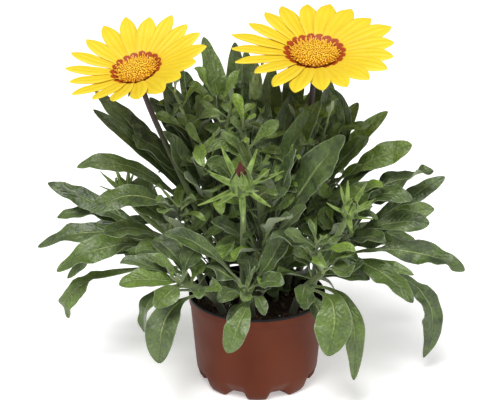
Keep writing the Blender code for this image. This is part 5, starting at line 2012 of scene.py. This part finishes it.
@dataclass(frozen=True)
class Pot:
    """A thin nursery pot with a band under its rim, a lobed foot and drain holes."""

    sides: int = 128

    def profile(self) -> list[tuple[float, float]]:
        """Radius and height of its rings, up the outside and down the inside.

        Returns:
            The rings.
        """
        band = RIM_HEIGHT - RIM_BAND
        slope = (band - 1.0 - HEEL_HEIGHT) / (RIM_HEIGHT - HEEL_HEIGHT)
        under = mix(HEEL_RADIUS, RIM_RADIUS - BAND_STEP, slope)
        lip = RIM_RADIUS - POT_WALL
        foot = [(DRAIN_REACH - 6.0, 0.0), (DRAIN_REACH + 5.0, 0.0), (FOOT_RADIUS - 0.7, 0.0),
                (FOOT_RADIUS, 0.5), (43.6, 2.9), (mix(HEEL_RADIUS, FOOT_RADIUS, 0.45), HEEL_HEIGHT * 0.35),
                (45.9, 8.6)]
        wall = [(HEEL_RADIUS - 0.25, HEEL_HEIGHT - 1.5), (HEEL_RADIUS, HEEL_HEIGHT),
                (HEEL_RADIUS + 0.2, HEEL_HEIGHT + 1.6), (mix(HEEL_RADIUS, under, 0.5), 38.5),
                (under, band - 1.0)]
        rim = [(under + 0.15, band - 0.5), (RIM_RADIUS - 0.45, band - 0.1), (RIM_RADIUS - 0.3, band + 0.5),
               (RIM_RADIUS - 0.2, RIM_HEIGHT - BLACK_LIP), (RIM_RADIUS - 0.1, RIM_HEIGHT - 0.5),
               (RIM_RADIUS - 0.3, RIM_HEIGHT - 0.1), (RIM_RADIUS - 0.6, RIM_HEIGHT)]
        inside = [(lip + 0.4, RIM_HEIGHT), (lip + 0.1, RIM_HEIGHT - 0.2), (lip, RIM_HEIGHT - 0.7),
                  (HEEL_RADIUS - POT_WALL, HEEL_HEIGHT + 1.0), (DRAIN_REACH + 4.5, FLOOR_THICKNESS),
                  (DRAIN_REACH - 6.0, FLOOR_THICKNESS)]
        return foot + wall + rim + inside

    def lobed(self, points: np.ndarray) -> np.ndarray:
        """Draws in and lifts the foot between its lobes.

        Args:
            points: the vertices in metres.

        Returns:
            Their new places.
        """
        out = np.hypot(points[:, 0], points[:, 1]) / MM
        levels = (0.0, HEEL_HEIGHT * 0.35, HEEL_HEIGHT, HEEL_HEIGHT + 2.0)
        wall = np.interp(points[:, 2] / MM, levels, (1.0, 0.8, 0.15, 0.0))
        floor = np.interp(out, (DRAIN_REACH - 6.0, DRAIN_REACH + 4.5), (0.0, 1.0))
        angle = np.arctan2(points[:, 0], -points[:, 1])
        share = np.clip((0.5 - 0.5 * np.cos(LOBES * angle) - 0.35) / 0.45, 0.0, 1.0)
        between = share * share * (3.0 - 2.0 * share) * np.minimum(wall, floor)
        moved = points.copy()
        moved[:, :2] *= (1.0 - LOBE_INSET * between / np.maximum(out, 1.0))[:, None]
        moved[:, 2] += LOBE_RISE * MM * between
        return moved

    def build(self, finish: PotFinish) -> bpy.types.Object:
        """Turns the pot, shapes its foot, drills it and dresses it.

        Args:
            finish: its plastic.

        Returns:
            The finished piece.
        """
        pot = dress(turned("pot_shell", self.profile(), self.sides), finish.outside(), finish.inside())
        place_vertices(pot.data, self.lobed(coordinates(pot.data)))
        drills = []
        for k in range(DRAINS):
            angle = math.tau * (k + 0.5) / DRAINS
            x, y = math.sin(angle) * DRAIN_REACH * MM, -math.cos(angle) * DRAIN_REACH * MM
            spot = (x, y, FLOOR_THICKNESS * MM)
            drills.append(primitive(bpy.ops.mesh.primitive_cylinder_add, f"drill_{k}", vertices=24,
                                    radius=DRAIN_RADIUS * MM, depth=20.0 * MM, location=spot))
        drill = joined("drill", drills)
        apply_modifier(pot, "BOOLEAN", operation="DIFFERENCE", object=drill, solver="EXACT")
        bpy.data.objects.remove(drill)
        for face in pot.data.polygons:
            out = Vector((face.center.x, face.center.y, 0.0))
            inner = face.normal.dot(out.normalized()) < -0.2 or face.normal.z > 0.5
            lip = face.center.z > (RIM_HEIGHT - BLACK_LIP) * MM
            face.material_index = int(lip or inner and face.center.z > FLOOR_THICKNESS * 0.5 * MM)
        return finish_piece(pot, "pot", "pot", angle=35.0)


@dataclass(frozen=True)
class Compost:
    """The root ball: a rough crumbly surface with loose bits of peat, bark and perlite."""

    sides: int = 96
    rings: int = 34
    bits: int = 1500
    roughness: float = 1.1

    def reach(self) -> float:
        """The radius of its surface inside the pot."""
        share = (COMPOST_HEIGHT - HEEL_HEIGHT) / (RIM_HEIGHT - HEEL_HEIGHT)
        return mix(HEEL_RADIUS, RIM_RADIUS - BAND_STEP, share) - POT_WALL - 0.4

    def level(self, x: float, y: float) -> float:
        """The height of the surface, lumpy all over.

        Args:
            x: millimetres to the right.
            y: millimetres to the back.

        Returns:
            The height in millimetres.
        """
        waves = math.sin(0.31 * x + 1.3) * math.cos(0.27 * y) + 0.6 * math.sin(0.53 * y + 0.36 * x)
        lumps = noise.fractal(Vector((x, y, 3.0)) * 0.22, 1.0, 2.0, 4)
        return COMPOST_HEIGHT + 0.8 * waves + self.roughness * lumps

    def build(self) -> bpy.types.Object:
        """Builds the root ball with its loose bits.

        Returns:
            The finished piece.
        """
        reach = self.reach()
        profile = [(DRAIN_REACH - 8.0, 2.5), (36.0, 10.0), (44.2, 16.0), (reach, COMPOST_HEIGHT - 2.0)]
        profile += [(reach * (1.0 - k / self.rings) + 0.4, COMPOST_HEIGHT) for k in range(self.rings)]
        ball = turned("compost_surface", profile, self.sides)
        points = coordinates(ball.data)
        top = points[:, 2] > (COMPOST_HEIGHT - 0.5) * MM
        points[top, 2] = [self.level(x / MM, y / MM) * MM for x, y, _ in points[top]]
        place_vertices(ball.data, points)
        finishes = {grain: grain.material() for grain in Grain}
        objects = [dress(ball, finishes[Grain.PEAT])]
        draw = random.Random("compost")
        for k in range(self.bits):
            grain = draw.choices(list(Grain), [g.share for g in Grain])[0]
            out, turn = reach * math.sqrt(draw.random()) * 0.985, draw.uniform(0.0, math.tau)
            x, y = out * math.sin(turn), -out * math.cos(turn)
            size = mix(*grain.sizes, draw.random() ** 2)
            spin = Euler([draw.uniform(0.0, math.tau) for _ in range(3)]).to_matrix().to_4x4()
            spans = (size * draw.uniform(0.9, 1.8), size, size * draw.uniform(0.5, 0.9), 1.0)
            stretch = Matrix.Diagonal(spans)
            spot = Matrix.Translation((x, y, self.level(x, y) + size * 0.25))
            bit = copy_of(STOCK.crumb(), f"bit_{k}")
            bit.data.transform(Matrix.Scale(MM, 4) @ spot @ spin @ stretch)
            objects.append(dress(bit, finishes[grain]))
        return finish_piece(joined("compost_surface", objects), "compost", "compost", angle=30.0)


# Studio


@dataclass(frozen=True)
class Studio:
    """A plain pale floor, soft light from the front and the photograph's camera."""

    sky: float = 0.23
    key: float = 3.2
    fill: float = 1.1
    key_softness: float = 26.0
    fill_softness: float = 60.0

    def lamp(self, name: str, strength: float, spread: float, heading: Sequence[float]) -> None:
        """Adds a far soft light.

        Args:
            name: its name.
            strength: its strength.
            spread: how wide it looks, in degrees.
            heading: where it shines from.
        """
        data = bpy.data.lights.new(name, "SUN")
        data.energy, data.angle = strength, math.radians(spread)
        obj = bpy.data.objects.new(name, data)
        bpy.context.scene.collection.objects.link(obj)
        obj.rotation_euler = Vector(heading).to_track_quat("Z", "Y").to_euler()

    def build(self) -> None:
        """Sets the floor, the lights, the surroundings and the camera."""
        floor = primitive(bpy.ops.mesh.primitive_plane_add, "floor", size=12.0)
        dress(floor, FloorFinish().material())
        world = bpy.data.worlds.new("studio")
        bpy.context.scene.world = world
        world.use_nodes = True
        world.node_tree.nodes["Background"].inputs["Color"].default_value = (1.0, 1.0, 0.98, 1.0)
        world.node_tree.nodes["Background"].inputs["Strength"].default_value = self.sky
        self.lamp("key", self.key, self.key_softness, (-0.20, -0.55, 1.0))
        self.lamp("fill", self.fill, self.fill_softness, (0.8, -0.7, 0.6))
        data = bpy.data.cameras.new("camera")
        data.sensor_width = SENSOR_WIDTH
        data.lens = FOCAL_PIXELS * SENSOR_WIDTH / PHOTO_WIDTH
        camera = bpy.data.objects.new("camera", data)
        bpy.context.scene.collection.objects.link(camera)
        camera.location = Vector(CAMERA_PLACE) * MM
        camera.rotation_euler = (math.radians(90.0 - CAMERA_PITCH), 0.0, 0.0)
        bpy.context.scene.camera = camera
        bpy.context.scene.view_settings.view_transform = "Standard"


def main() -> None:
    """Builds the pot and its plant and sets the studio."""
    logging.basicConfig(level=logging.INFO, format="%(message)s")
    Pot().build(PotFinish())
    Compost().build()
    leaf = LeafFinish()
    above, below = leaf.above(), leaf.below()
    bark = StalkFinish("shoot_stem", (0.050, 0.060, 0.022), (0.120, 0.170, 0.045)).material()
    for shoot in SHOOTS:
        shoot.build(above, below, bark)
    ray, florets = RayFinish(), FloretFinish().material()
    ray_above, ray_below = ray.above(), ray.below()
    purple = StalkFinish("flower_stalk", (0.095, 0.130, 0.034), (0.030, 0.010, 0.010),
                         (0.50, 0.88)).material()
    cup_green = BractFinish("cup_green").material()
    for flower in FLOWERS:
        flower.build_stalk(purple, cup_green)
        flower.build_rays(ray_above, ray_below)
        flower.build_disc(florets)
    bract = BractFinish("bract_green", (0.068, 0.116, 0.020), (0.215, 0.315, 0.060)).material()
    pale = StalkFinish("bud_stalk", (0.100, 0.145, 0.038), (0.170, 0.235, 0.065)).material()
    # The bud's body is painted dark green as the shade between its bracts.
    gap_shade = BractFinish("bud_body", (0.028, 0.050, 0.010), (0.090, 0.140, 0.024)).material()
    striped = BractFinish("striped_bracts", (0.110, 0.170, 0.040), (0.300, 0.380, 0.150)).material()
    for bud in BUDS:
        bud.build(striped if bud.striped else bract, gap_shade, pale)
        if bud.furled:
            bud.build_furled(FurledFinish().material())
    for mesh in STOCK.made.values():
        bpy.data.meshes.remove(mesh)
    Studio().build()


if __name__ == "__main__":
    main()
